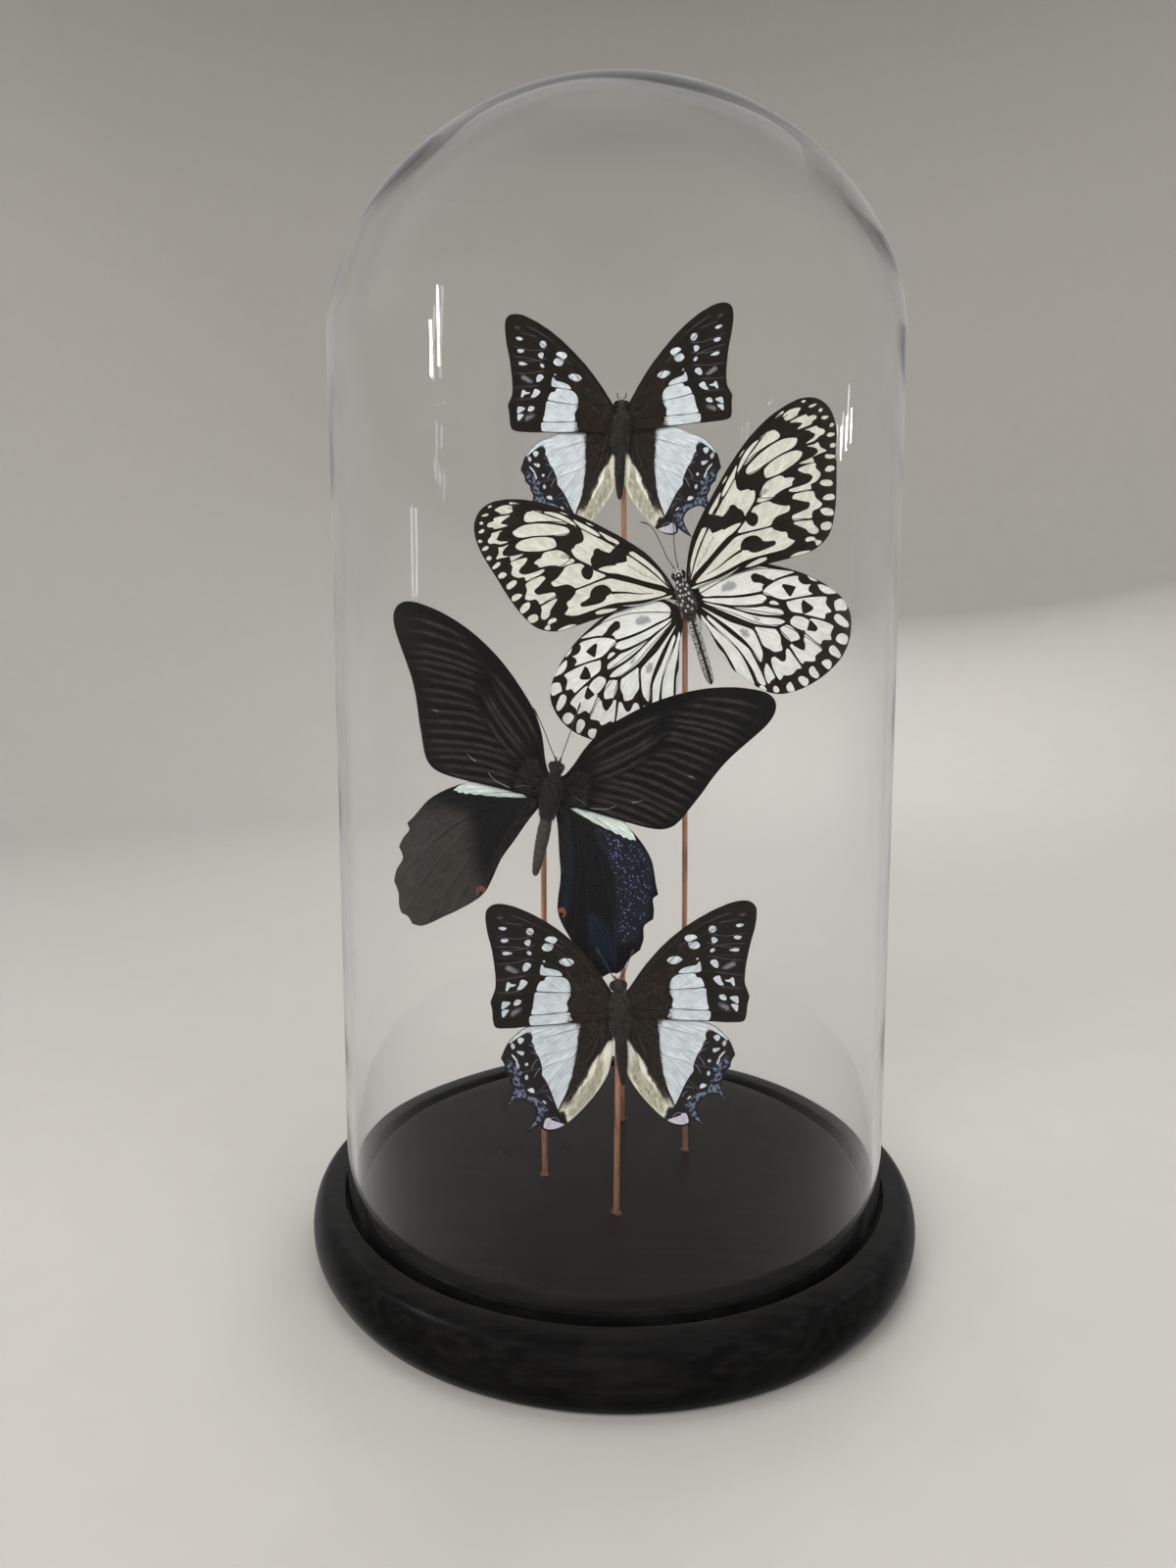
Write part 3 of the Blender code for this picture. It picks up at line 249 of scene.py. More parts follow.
NF_MIST = [[(36.4, 33.7), (37.3, 34.1), (38.2, 33.7), (37.3, 33.3)], [(31, 15.4), (32.4, 16.4), (34.4, 17.4), (35.6, 16.8), (34, 15.6), (32, 15)],
           [(30, 3), (33, 2.6), (33.6, 0.8), (31.5, 1.6)]]
NF_VEINS = [
    ([(1, 6), (5, 12), (11, 19.4), (18, 25.6), (26, 31), (34, 35)], 0.5, 0.25),
    ([(1.2, 4), (6, 9.4), (11.4, 14.6), (17, 20.6), (24, 26), (31, 30.4), (38, 33.4)], 0.4, 0.2),
    ([(1.4, 3), (7, 5.6), (10.4, 8.6), (13.4, 12), (15.4, 15.6), (18.2, 20)], 0.35, 0.22),
    ([(15.4, 15.6), (20, 19), (27, 22.8), (33, 24.8), (39, 25.6)], 0.22, 0.16),
    ([(15, 14.4), (19, 16.2), (25, 18.8), (32, 19.9), (38.6, 19.8)], 0.22, 0.16),
    ([(13.8, 12.4), (18, 13), (24, 13.7), (31, 14.2), (38.2, 13.4)], 0.22, 0.16),
    ([(10.6, 8.8), (14, 7.5), (20, 7.8), (26, 8.4), (32, 8.2), (38.6, 7.8)], 0.22, 0.16),
    ([(1.4, 1.4), (8, 0.9), (15, 0.95), (20, 0.7), (27, 0.6), (33, 0.2), (38.6, -0.4)], 0.25, 0.16),
]
NF_SCRATCH = [[(3, 3.4), (7, 5.9), (10, 8.2), (13, 11.6), (15, 14.6)], [(16.5, 22.3), (18.5, 23.6), (20.4, 24.6)], [(26, 24), (31, 22.8), (37, 22.6)],
              [(27, 19.4), (33, 18.4), (38, 18.2)], [(26.4, 27), (32, 26.4), (38.6, 27.6)], [(30, 31), (36, 31.9)], [(29, 13.9), (34, 13.3), (38, 12.8)],
              [(24, 29.8), (29, 32.4), (34, 34.2)], [(31, 9.0), (35, 8.6), (38, 8.8)], [(28, 22.6), (32, 23.6), (38.4, 24)]]
NF_BROWN = [[(0.5, 5), (6, 12), (12, 18), (15.5, 15.5), (14, 11), (13, 7), (13.8, 2), (13.2, -2.8), (1, -2.4)]]
NH_PALE = [
    [(10.1, -1), (10.1, -2.5), (10.2, -6), (10.9, -8.6), (10.9, -11.6), (11.2, -15.1), (12.1, -19.2), (12.7, -22.5), (13.6, -25.4), (14.8, -28.4), (16.2, -31.3), (17, -33), (17.6, -31.6), (18.2, -30.3), (18.9, -28.4), (19.7, -26.4), (20.6, -24.4), (21.6, -22.6), (22.7, -21), (22.7, -19), (23.2, -16.8), (24, -14.6), (25.2, -12.5), (25.6, -10.6), (26.4, -9.3), (26.2, -7.5), (27, -6), (28.5, -6.2), (30.5, -7.2), (32.3, -8.5), (33.9, -9.6), (33.6, -8.6), (30.7, -5.9), (27.7, -4.1), (24, -3.1), (20, -1.5), (14, 0.3)],
    [(29, -8.4), (30.2, -7.6), (31.2, -8.2), (31, -9.2), (30.2, -9.9)], [(29, -12.6), (31.3, -12.2), (31, -13), (29.4, -13.9)],
    [(32.4, -13.6), (33.2, -13.4), (31.4, -15.9), (31, -15.6)], [(27.4, -17), (28, -16.4), (28.6, -17), (28, -17.6)],
    [(27.3, -21.4), (27.9, -20.5), (28.5, -21.4), (27.9, -22.3)], [(25.4, -25.5), (26.2, -25), (27.5, -25.5), (26.6, -26.4), (25.2, -26.7)],
    [(21, -30.6), (21.8, -29.6), (22.4, -29.8), (21.4, -30.8)],
]
NH_CREAM = [[(1.5, -12.3), (3, -14.5), (5, -17), (7.5, -20.5), (9.5, -23.5), (11.5, -26), (13.3, -28.3), (14.5, -30), (15.6, -32), (16.3, -34), (14.8, -33.6), (14.2, -35), (13.8, -36.5), (13.2, -38.4), (9.3, -35), (5, -30.4), (1.4, -26), (-1.0, -21.8), (-2.2, -17.5), (-2.2, -10.8), (-0.2, -10.6)]]
NH_TAN = [[(10.5, -26), (13.4, -28.2), (15.2, -31.6), (15.8, -33.4), (14, -33), (12.2, -31.2), (11, -28.8)],
          [(3.0, -16), (3.6, -15.6), (4.6, -20), (4.2, -23), (3.6, -20)]]
NH_BROWN = [[(1.2, -0.8), (9.8, -1), (10, -6), (10.7, -11.6), (11.9, -19.2), (13.4, -25.6), (14.6, -28.8), (14, -29), (11, -25.5), (8.5, -21.8), (6, -17.8), (4, -14.4), (1.4, -12)]]
NH_LILAC = [[(32, -10.5), (33, -9.4), (33.4, -10.6), (32.6, -11.6)], [(30.4, -17.8), (30.8, -16.4), (31.6, -16), (31.4, -17.2), (30.9, -18.2)],
            [(14.6, -38.5), (16, -37.8), (19, -36.6), (19.5, -35.8), (21, -36), (21.7, -38.8), (20, -39.7), (17.5, -39.6), (15.5, -39.1)]]
NH_BLUE = [[(30.5, -18.6), (32, -17.2), (33.8, -14.8), (34.6, -16.6), (34.2, -18.6), (32.4, -19.8), (32.4, -22.4), (31.6, -24.6), (33, -28.6), (34.8, -32), (32.8, -29.6), (30.4, -27.9), (28, -28.4), (26.8, -30.6), (25, -30.6), (23.6, -33.0), (24.4, -36.0), (26.8, -39.2), (24.4, -37.8), (22.4, -36.4), (21.2, -34), (20.2, -32.6), (21.8, -31.6), (23.6, -29), (26, -28), (28.4, -26), (28.6, -24), (30.2, -23), (30, -21), (29.2, -19.6)]]
NH_ARCS = [[(26.6, -9.6), (26.1, -8), (26.8, -6.6), (27.8, -6.4)], [(25.6, -11.8), (26, -10.8), (27.4, -10.4)], [(24.6, -14), (25.4, -13.2), (26.6, -12.9)],
           [(24.2, -15.4), (25.4, -16.6), (26.4, -18.6)], [(23.4, -18.6), (24.4, -19.8), (25.4, -21.6)], [(20.6, -26.6), (21.6, -26.2), (23, -26.8)], [(19.4, -30), (19.8, -28.8), (21, -28)],
           [(16.4, -37.2), (17.2, -36.2), (18.6, -35.7), (19.4, -36.3)]]
NH_VEINS = [
    ([(1.6, -2.2), (6, -3.4), (10.5, -5.2), (15, -6), (20, -7.2), (26, -8.4)], 0.22, 0.14),
    ([(1.6, -2.4), (5, -6), (10, -10.4), (14, -12.4), (20, -13.6), (25, -14.4)], 0.16, 0.12),
    ([(1.6, -2.6), (5, -8), (9, -12.6), (13, -15.4), (18, -16.8), (23, -18.4), (29, -19.6)], 0.22, 0.14),
    ([(9, -12.6), (13, -15.5), (17, -19.6), (20.6, -23.6), (25, -27.4)], 0.2, 0.14),
    ([(1.6, -3), (5, -12), (9, -20), (13, -27), (16, -33)], 0.3, 0.2),
    ([(1.5, -4), (3, -14), (5, -22), (8, -29), (12, -36)], 0.22, 0.16),
]
SF_STREAKS = [
    [(31, 37.5), (40, 38.8), (50, 38.9), (57, 38)], [(30, 34.8), (40, 36), (50, 36.3), (57, 35)], [(31, 33), (40, 34), (50, 33.5), (56, 32)],
    [(29, 29.5), (33, 30.6), (40, 30.9), (50, 31), (55, 30)], [(30, 27), (34, 28.6), (40, 28.5), (50, 27.6)], [(30, 24), (36, 25.2), (42, 25), (51, 23.8)],
    [(26.5, 21), (32, 22.5), (40, 22), (49.5, 20.8)], [(24.5, 18), (32, 19.3), (38, 18.6), (48, 17)], [(21, 15.2), (30, 16.1), (38, 15), (47.5, 13)],
    [(17.5, 12), (26, 12.8), (34, 12.2), (46, 10)], [(14, 8.9), (22, 9.6), (30, 9.2), (38, 8), (45, 6.6)], [(12, 6.3), (20, 7.3), (28, 6.9), (36, 5.5), (44, 3.8)],
    [(10, 3), (18, 3.8), (26, 4.2), (34, 3.4), (42, 1.4)], [(10, 1.3), (20, 1.6), (28, 1), (39, -0.8)], [(34, 41), (42, 42.4), (52, 43), (60, 42)],
    [(38, 44.4), (46, 46), (54, 46.8), (61, 46.4)], [(8, 9), (14, 13.4), (20, 18.2), (26, 24.2), (30, 29)], [(9, 12), (16, 17.4), (22, 22.6), (28, 29.4)],
    [(7, 14), (13, 20), (20, 26), (27, 32.4)], [(6, 16), (12, 23), (20, 30), (29, 36.4)], [(10, 7.4), (16, 11), (22, 16), (27, 21)],
    [(12, -0.8), (20, -1.6), (30, -2.2), (36, -1.8)],
]
SF_VEINS = [
    ([(1.2, 6), (4, 14), (9.6, 22.6), (17, 30.6), (26, 37.6), (36, 43.4), (47, 47.8), (58, 50.4)], 0.55, 0.3),
    ([(1.4, 5), (6, 13), (13, 20.6), (20, 27), (26, 31), (30, 35), (38, 40.2), (48, 44.6), (60, 47)], 0.45, 0.22),
    ([(1.6, 3.6), (8, 7.6), (14, 11.2), (20, 16.2), (25, 21.2), (29, 26), (31.6, 29.6), (29, 34)], 0.45, 0.3),
    ([(30.4, 36), (40, 37.6), (50, 37.8), (60, 36.6)], 0.24, 0.18), ([(31, 33.9), (40, 35.0), (50, 34.9), (58, 33.4)], 0.24, 0.18),
    ([(31.6, 31.6), (40, 32.5), (50, 32.2), (55.6, 30.6)], 0.24, 0.18), ([(29, 26), (34, 27), (42, 26.8), (52.4, 25)], 0.24, 0.18),
    ([(25, 21.2), (32, 20.9), (40, 20.4), (50, 18.8)], 0.24, 0.18), ([(20, 16.2), (28, 14.6), (38, 13.6), (47.6, 11.4)], 0.24, 0.18),
    ([(14, 11.2), (22, 11), (32, 10.6), (46, 7.6)], 0.24, 0.18), ([(1.8, 1.8), (10, 4.6), (20, 5.4), (32, 4.8), (43, 2.6)], 0.3, 0.2),
    ([(1.8, 0.4), (10, 0), (20, -0.2), (30, -0.8), (40, -1.8)], 0.24, 0.18),
]
SF_LIGHT = [[(12, -2.2), (14, -1.8), (17, -1.1), (19, 0), (20.4, 1.2)], [(25.6, 3.8), (27.4, 4.6), (29, 5.6)], [(42.4, 17.6), (43.2, 17.9), (44.4, 17.7)],
            [(4.6, 0.2), (7, -0.2), (9.4, -1.2), (10.4, -1.6)]]
SH_PALE = [[(5.0, -4.3), (7.4, -3.4), (10, -2.9), (14, -2.6), (20, -2.1), (23, -2.2), (25.5, -3.5), (28, -5.3), (29.8, -7.3), (30.4, -8.4), (29.4, -8.3), (28.4, -8.8), (27, -8.3), (26, -8.6), (24.6, -7.9), (23, -8.1), (21.4, -7.5), (19, -7.4), (16.6, -6.9), (14, -6.6), (12, -5.9), (9.6, -5.6), (7, -4.9)]]
SH_DUST = [[(21, -8.5), (30, -8.6), (36.5, -13.6), (39, -19), (41.2, -25), (40.6, -29), (42, -33), (40.2, -38), (40.6, -42.4), (38, -43.6), (34.4, -45.4), (32.4, -42), (31, -36), (29.6, -29), (27, -23.6), (23.6, -18), (17, -11.5), (16, -8.6)]]
# painted haze: a lighter, greyer tone over the left hindwing only, partly painted reflection haze of the glass in
# front, partly the wing's duller brown
SH_DULL_PAINTED_HAZE = [[(24, -16), (36, -16), (46, -26), (46, -50), (38, -62), (18, -62), (8, -50), (9, -42), (16, -34), (20, -24)]]
# painted sheen: bluish, glossy-looking patches on the swallowtail hindwing, put on the right wing only
SH_PAINTED_SHEEN = [[(4, -9), (6, -9), (10, -18), (12.6, -28), (14.4, -38), (13, -40), (10.4, -36), (8.6, -27), (6, -18)], [(22, -38), (28, -40), (34, -47), (36, -54), (31, -55), (26, -50), (23, -44)]]
SH_RED = [[(9.9, -41.2), (10.6, -40), (11.8, -39.3), (13, -39.6), (13.8, -40.8), (13.5, -42.4), (12.7, -42.8), (12.9, -41.6), (12.2, -41.1), (11.3, -41.6), (11, -42.6), (10.4, -42.2)]]
SH_VEINS = [
    ([(2.2, -4), (5, -10), (8.5, -20), (10.5, -30), (12.8, -40), (14.4, -45.4)], 0.3, 0.2), ([(2.5, -4), (8, -9.5), (12.5, -19), (15.5, -31), (17.5, -42), (19.5, -50)], 0.3, 0.2),
    ([(3, -3.5), (10, -10), (15.5, -20), (19, -31), (23, -42), (27.4, -56)], 0.3, 0.2), ([(3, -3.5), (11, -9), (19, -17), (23.5, -24), (29, -34), (33, -44), (36, -55)], 0.3, 0.2),
    ([(3, -3), (12, -8), (22, -15), (29, -23), (35.5, -33), (41.4, -44)], 0.3, 0.2), ([(3, -3), (13, -6.8), (23, -11), (31, -17), (38, -25), (43, -32.4)], 0.3, 0.2),
    ([(3, -2.5), (14, -4.9), (24, -8.6), (32, -12), (41, -21)], 0.3, 0.2), ([(17.4, -15.6), (17.6, -21), (20.6, -24.6), (23.6, -24.2)], 0.24, 0.24),
]
WINGS = {
    ("kite", "fore"): dict(outline=KITE_FORE, hard=dict(pale=KF_PALE + KF_RIM, dark=KF_DARK), soft=dict(grey=KF_GREY), veins=KF_VEINS),
    ("kite", "hind"): dict(outline=KITE_HIND, hard=dict(pale=KH_PALE + KH_RIM, dark=KH_DARK), soft=dict(grey=KH_GREY), veins=KH_VEINS),
    ("nawab", "fore"): dict(outline=NAWAB_FORE, hard=dict(pale=NF_PALE), soft=dict(mist=NF_MIST, brown=NF_BROWN), veins=NF_VEINS,
                            lines=dict(mist_line=[(a, 0.16, 0.1) for a in NF_SCRATCH])),
    ("nawab", "hind"): dict(outline=NAWAB_HIND, hard=dict(blue=NH_BLUE, pale=NH_PALE, lilac=NH_LILAC), soft=dict(cream=NH_CREAM, tan=NH_TAN, brown=NH_BROWN),
                            veins=NH_VEINS, lines=dict(mist_line=[(a, 0.34, 0.3) for a in NH_ARCS])),
    ("swallowtail", "fore"): dict(outline=SWALLOW_FORE, hard={}, soft={}, veins=SF_VEINS, streaks=SF_STREAKS, lines=dict(mist_line=[(a, 0.36, 0.18) for a in SF_LIGHT])),
    ("swallowtail", "hind"): dict(outline=SWALLOW_HIND, hard=dict(pale=SH_PALE, red=SH_RED), soft=dict(dust=SH_DUST, painted_sheen=SH_PAINTED_SHEEN, dull_painted_haze=SH_DULL_PAINTED_HAZE), veins=SH_VEINS),
}
SOFTNESS = dict(grey=0.35, mist=0.5, brown=1.2, cream=0.5, tan=1.0, dust=5.0, painted_sheen=1.6, dull_painted_haze=9.0)


# ------------------------------------------------------------------ curves and distances
def closed_curve(points, per_span, ease=1.0):
    n, out = len(points), []
    for i in range(n):
        q = [points[(i + k - 1) % n] for k in range(4)]
        a, b, c, d = (np.array(p[:2], float) for p in q)
        if len(q[1]) > 2:
            a = b * 2 - c
        if len(q[2]) > 2:
            d = c * 2 - b
        for k in range(per_span):
            t = k / per_span
            cr = 0.5 * ((2 * b) + (c - a) * t + (2 * a - 5 * b + 4 * c - d) * t * t + (3 * b - 3 * c + d - a) * t ** 3)
            out.append(ease * cr + (1 - ease) * (b + (c - b) * t))
    return np.array(out)


def open_curve(points, step):
    """Smooth open curve through the points, resampled to an even step."""
    p = np.array(points, float)
    p = np.vstack([2 * p[0] - p[1], p, 2 * p[-1] - p[-2]])
    out = []
    for a, b, c, d in zip(p[:-3], p[1:-2], p[2:-1], p[3:]):
        for t in np.linspace(0, 1, 12, endpoint=False):
            out.append(0.5 * ((2 * b) + (c - a) * t + (2 * a - 5 * b + 4 * c - d) * t * t + (3 * b - 3 * c + d - a) * t ** 3))
    out = np.array(out + [p[-2]])
    s = np.concatenate([[0], np.cumsum(np.linalg.norm(np.diff(out, axis=0), axis=1))])
    t = np.linspace(0, s[-1], max(3, int(round(s[-1] / step)) + 1))
    return np.stack([np.interp(t, s, out[:, k]) for k in range(out.shape[1])], 1)


def inside(poly, pts):
    res = np.zeros(len(pts), bool)
    lo, hi = poly.min(0), poly.max(0)
    near = np.where(((pts >= lo) & (pts <= hi)).all(1))[0]
    if not len(near):
        return res
    x, y = pts[near, 0][:, None], pts[near, 1][:, None]
    x0, y0 = poly[:, 0][None], poly[:, 1][None]
    x1, y1 = np.roll(poly[:, 0], -1)[None], np.roll(poly[:, 1], -1)[None]
    cross = (y0 > y) != (y1 > y)
    with np.errstate(divide="ignore", invalid="ignore"):
        xi = x0 + (y - y0) / (y1 - y0) * (x1 - x0)
    res[near] = (cross & (x < xi)).sum(1) % 2 == 1
    return res


def distance(line, pts, closed=False):
    a = line
    b = np.roll(line, -1, 0) if closed else line[1:]
    a = a if closed else line[:-1]
    best = np.full(len(pts), 1e9)
    for p, q in zip(a, b):
        d = q - p
        t = np.clip(((pts - p) @ d) / max(d @ d, 1e-12), 0, 1)
        e = pts - (p + t[:, None] * d)
        best = np.minimum(best, (e * e).sum(1))
    return np.sqrt(best)


def ribbon(points, w0, w1, step=0.8):
    """A tapering strip along a line, as a closed outline, and its middle line."""
    c = open_curve(points, step)
    d = np.gradient(c, axis=0)
    n = np.stack([-d[:, 1], d[:, 0]], 1) / np.linalg.norm(d, axis=1)[:, None]
    w = np.linspace(w0, w1, len(c))[:, None] / 2
    return np.vstack([c + n * w, (c - n * w)[::-1]]), c


# ------------------------------------------------------------------ wing nets
def wing_net(spec, spacing, seed):
    rng = np.random.default_rng(seed)
    out = closed_curve(spec["outline"], 6)
    shapes = {k: [closed_curve(s, 3, 0.85) for s in v] for k, v in spec["hard"].items()}
    veins = [ribbon(*v) for v in spec["veins"]]
    shapes["vein"] = [v[0] for v in veins]
    middles = [v[1] for v in veins]
    for key, lines in spec.get("lines", {}).items():
        shapes[key] = [ribbon(*l, step=0.5)[0] for l in lines]
    co, ed = [], []

    def add(line, closed):
        k = len(co)
        co.extend(map(tuple, line))
        n = len(line)
        ed.extend((k + i, k + (i + 1) % n) for i in range(n if closed else n - 1))

    add(out, True)
    for group in shapes.values():
        for s in group:
            add(s, True)
    for m in middles:
        add(m[1:-1], False)
    fixed = np.array(co)
    lo, hi = out.min(0), out.max(0)
    gx, gy = np.meshgrid(np.arange(lo[0], hi[0], spacing), np.arange(lo[1], hi[1], spacing * 0.866))
    gx = gx + (np.arange(gx.shape[0]) % 2)[:, None] * spacing / 2
    fill = np.stack([gx.ravel(), gy.ravel()], 1) + rng.uniform(-0.15, 0.15, (gx.size, 2)) * spacing
    fill = fill[inside(out, fill)]
    keep = np.ones(len(fill), bool)
    for k in range(0, len(fill), 500):
        d = ((fill[k:k + 500, None] - fixed[None]) ** 2).sum(2).min(1)
        keep[k:k + 500] = d > (0.42 * spacing) ** 2
    co.extend(map(tuple, fill[keep]))
    v, _, f, _, _, _ = delaunay_2d_cdt([Vector(p) for p in co], ed, [], 0, 1e-5, False)
    P = np.array([(p.x, p.y) for p in v])
    T = np.array([t for t in f if len(t) == 3])
    a, b, c = P[T[:, 0]], P[T[:, 1]], P[T[:, 2]]
    area = (b[:, 0] - a[:, 0]) * (c[:, 1] - a[:, 1]) - (b[:, 1] - a[:, 1]) * (c[:, 0] - a[:, 0])
    T[area < 0] = T[area < 0][:, ::-1]
    mid = P[T].mean(1)
    ok = inside(out, mid) & (np.abs(area) > 1e-7)
    T, mid = T[ok], mid[ok]
    used = np.unique(T)
    remap = -np.ones(len(P), int)
    remap[used] = np.arange(len(used))
    P, T = P[used], remap[T]
    face = {k: np.zeros(len(T), bool) for k in shapes}
    for k, group in shapes.items():
        for s in group:
            face[k] |= inside(s, mid)
    point = {}
    dv = np.full(len(P), 1e9)
    ridge = np.zeros(len(P))
    for (line, w0, w1), m in zip(spec["veins"], middles):
        d = distance(m, P)
        dv = np.minimum(dv, d)
        ridge = np.maximum(ridge, np.clip(1 - d / (0.25 * (w0 + w1)), 0, 1) * (0.6 + 0.4 * min(1, w0 / 0.4)))
    for k, group in spec["soft"].items():
        val = np.zeros(len(P))
        for s in group:
            s = closed_curve(s, 4, 0.9)
            d = distance(s, P, True) * np.where(inside(s, P), 1, -1)
            t = np.clip(d / SOFTNESS[k] + 0.5, 0, 1)
            val = np.maximum(val, t * t * (3 - 2 * t))
        point[k] = val
    if "streaks" in spec:
        val = np.zeros(len(P))
        for s in spec["streaks"]:
            s = open_curve(s, 1.5)
            ends = np.minimum(np.linalg.norm(P - s[0], axis=1), np.linalg.norm(P - s[-1], axis=1))
            val = np.maximum(val, np.exp(-(distance(s, P) / 0.52) ** 2) * np.clip(ends / 5.0, 0.25, 1))
        point["streak"] = val
    edge = distance(out, P, True)
    point["edge"] = np.clip(edge / 2.0, 0, 1)
    r = np.linalg.norm(P, axis=1)
    point["root"] = np.clip(1 - r / 14.0, 0, 1)
    # gentle swell between the veins, and a slight warp as the wing dried
    z = 0.13 * np.exp(-(dv / 1.3) ** 2) - 0.06
    z += 0.16 * np.sin(P[:, 0] * 0.13 + 0.6) * np.cos(P[:, 1] * 0.11 + seed) + 0.10 * np.sin(P[:, 1] * 0.31 + P[:, 0] * 0.17)
    z += 0.12 * (1 - np.clip(edge / 3.0, 0, 1)) * np.sin(P[:, 0] * 0.9 + P[:, 1] * 0.7)
    z *= np.clip(r / 8.0, 0, 1)
    return dict(P=P, T=T, z=z, ridge=ridge, face=face, point=point, out=out)


def rim_edges(T):
    e = np.vstack([T[:, [0, 1]], T[:, [1, 2]], T[:, [2, 0]]])
    key = np.sort(e, 1)
    _, idx, cnt = np.unique(key, axis=0, return_index=True, return_counts=True)
    return e[idx[cnt == 1]]


NETS = {}


def stand_matrix(b):
    return (Matrix.Translation(Vector(b["at"]) * MM) @ Matrix.Rotation(math.radians(b["lean"]), 4, "Y")
            @ Matrix.Rotation(math.radians(90.0), 4, "X") @ Matrix.Rotation(math.radians(-b["turn"]), 4, "Y"))


def wing_matrix(b, which, side):
    sweep, dx, dy = b[which + ("_r" if side > 0 else "_l")]
    behind = HIND_BEHIND if which == "hind" else 0.0
    return (stand_matrix(b) @ Matrix.Translation((side * PIVOT_X * MM, 0, 0))
            @ Matrix.Rotation(math.radians(-side * b["dihedral"]), 4, "Y")
            @ Matrix.Translation((side * dx * MM, dy * MM, -behind * MM))
            @ Matrix.Rotation(math.radians(side * sweep), 4, "Z"))


def apply(m, pts):
    m = np.array(m)
    return pts @ m[:3, :3].T + m[:3, 3]


def make_mesh(name, co, faces, mat, sharp=None, smooth=True):
    me = bpy.data.meshes.new(name)
    me.from_pydata(co.tolist() if isinstance(co, np.ndarray) else co, [], faces)
    me.materials.append(mat)
    if smooth:
        me.shade_smooth()
        if sharp is not None:
            me.set_sharp_from_angle(angle=math.radians(sharp))
    ob = bpy.data.objects.new(name, me)
    coll.objects.link(ob)
    return ob


def set_attr(me, name, values, domain="POINT", kind="FLOAT"):
    at = me.attributes.new(name, kind, domain)
    if kind == "FLOAT":
        at.data.foreach_set("value", np.asarray(values, np.float32).ravel())
    else:
        at.data.foreach_set("vector", np.asarray(values, np.float32).ravel())


def wings(name, b, which, mat):
    kind = b["kind"]
    if (kind, which) not in NETS:
        NETS[(kind, which)] = wing_net(WINGS[(kind, which)], 0.75, 7 + len(NETS))
    net = NETS[(kind, which)]
    P, T, s = net["P"], net["T"], b["size"]
    n, rim = len(P), rim_edges(net["T"])
    co, faces, fidx = [], [], []
    for side in (1, -1):
        m = wing_matrix(b, which, side)
        k = len(co) * n
        for top in (1, -1):
            z = net["z"] + top * (WING_T / 2 + 0.13 * net["ridge"])
            co.append(apply(m, np.stack([side * P[:, 0] * s, P[:, 1] * s, z], 1) * MM))
        t = T if side > 0 else T[:, ::-1]
        faces += (t + k).tolist() + (t[:, ::-1] + k + n).tolist()
        q = np.stack([rim[:, 1], rim[:, 0], rim[:, 0] + n, rim[:, 1] + n], 1) + k
        faces += (q if side > 0 else q[:, ::-1]).tolist()
    ob = make_mesh(name, np.vstack(co), faces, mat, sharp=48)
    me = ob.data
    rim_face = np.zeros(len(rim))
    for key, val in net["face"].items():
        per = np.concatenate([val, val, rim_face, val, val, rim_face]).astype(np.float32)
        tot = np.zeros(len(me.polygons), np.int32)
        me.polygons.foreach_get("loop_total", tot)
        set_attr(me, key, np.repeat(per, tot), "CORNER")
    halves = kind == "swallowtail" and which == "hind"
    for key, val in net["point"].items():
        # first pair of gains is the right wing copy, second the left: the painted sheen goes on the right hindwing
        # only, the painted haze on the left only
        gain = {"dust": (1.0, 0.22), "painted_sheen": (1.0, 0.0), "dull_painted_haze": (0.0, 1.0)}.get(key, (1.0, 1.0))
        set_attr(me, key, np.concatenate([val * gain[0], val * gain[0], val * gain[1], val * gain[1]]))
    P4 = np.tile(P, (4, 1))
    set_attr(me, "wing_mm", np.column_stack([P4, np.zeros(len(P4))]), kind="FLOAT_VECTOR")
    r = np.linalg.norm(P4, axis=1)
    th = np.arctan2(P4[:, 1], P4[:, 0])
    set_attr(me, "wing_ray", np.column_stack([th * 22.0, r * 0.10, np.zeros(len(P4))]), kind="FLOAT_VECTOR")
    uv = me.uv_layers.new(name="OFBake")
    lo, hi = P.min(0), P.max(0)
    U = 0.01 + 0.98 * (P4 - lo) / (hi - lo)
    if halves:
        U[:, 0] = U[:, 0] * 0.49 + np.where(np.arange(len(P4)) < 2 * n, 0.0, 0.505)
    vi = np.zeros(len(me.loops), np.int32)
    me.loops.foreach_get("vertex_index", vi)
    uv.data.foreach_set("uv", U[vi].astype(np.float32).ravel())
    return ob


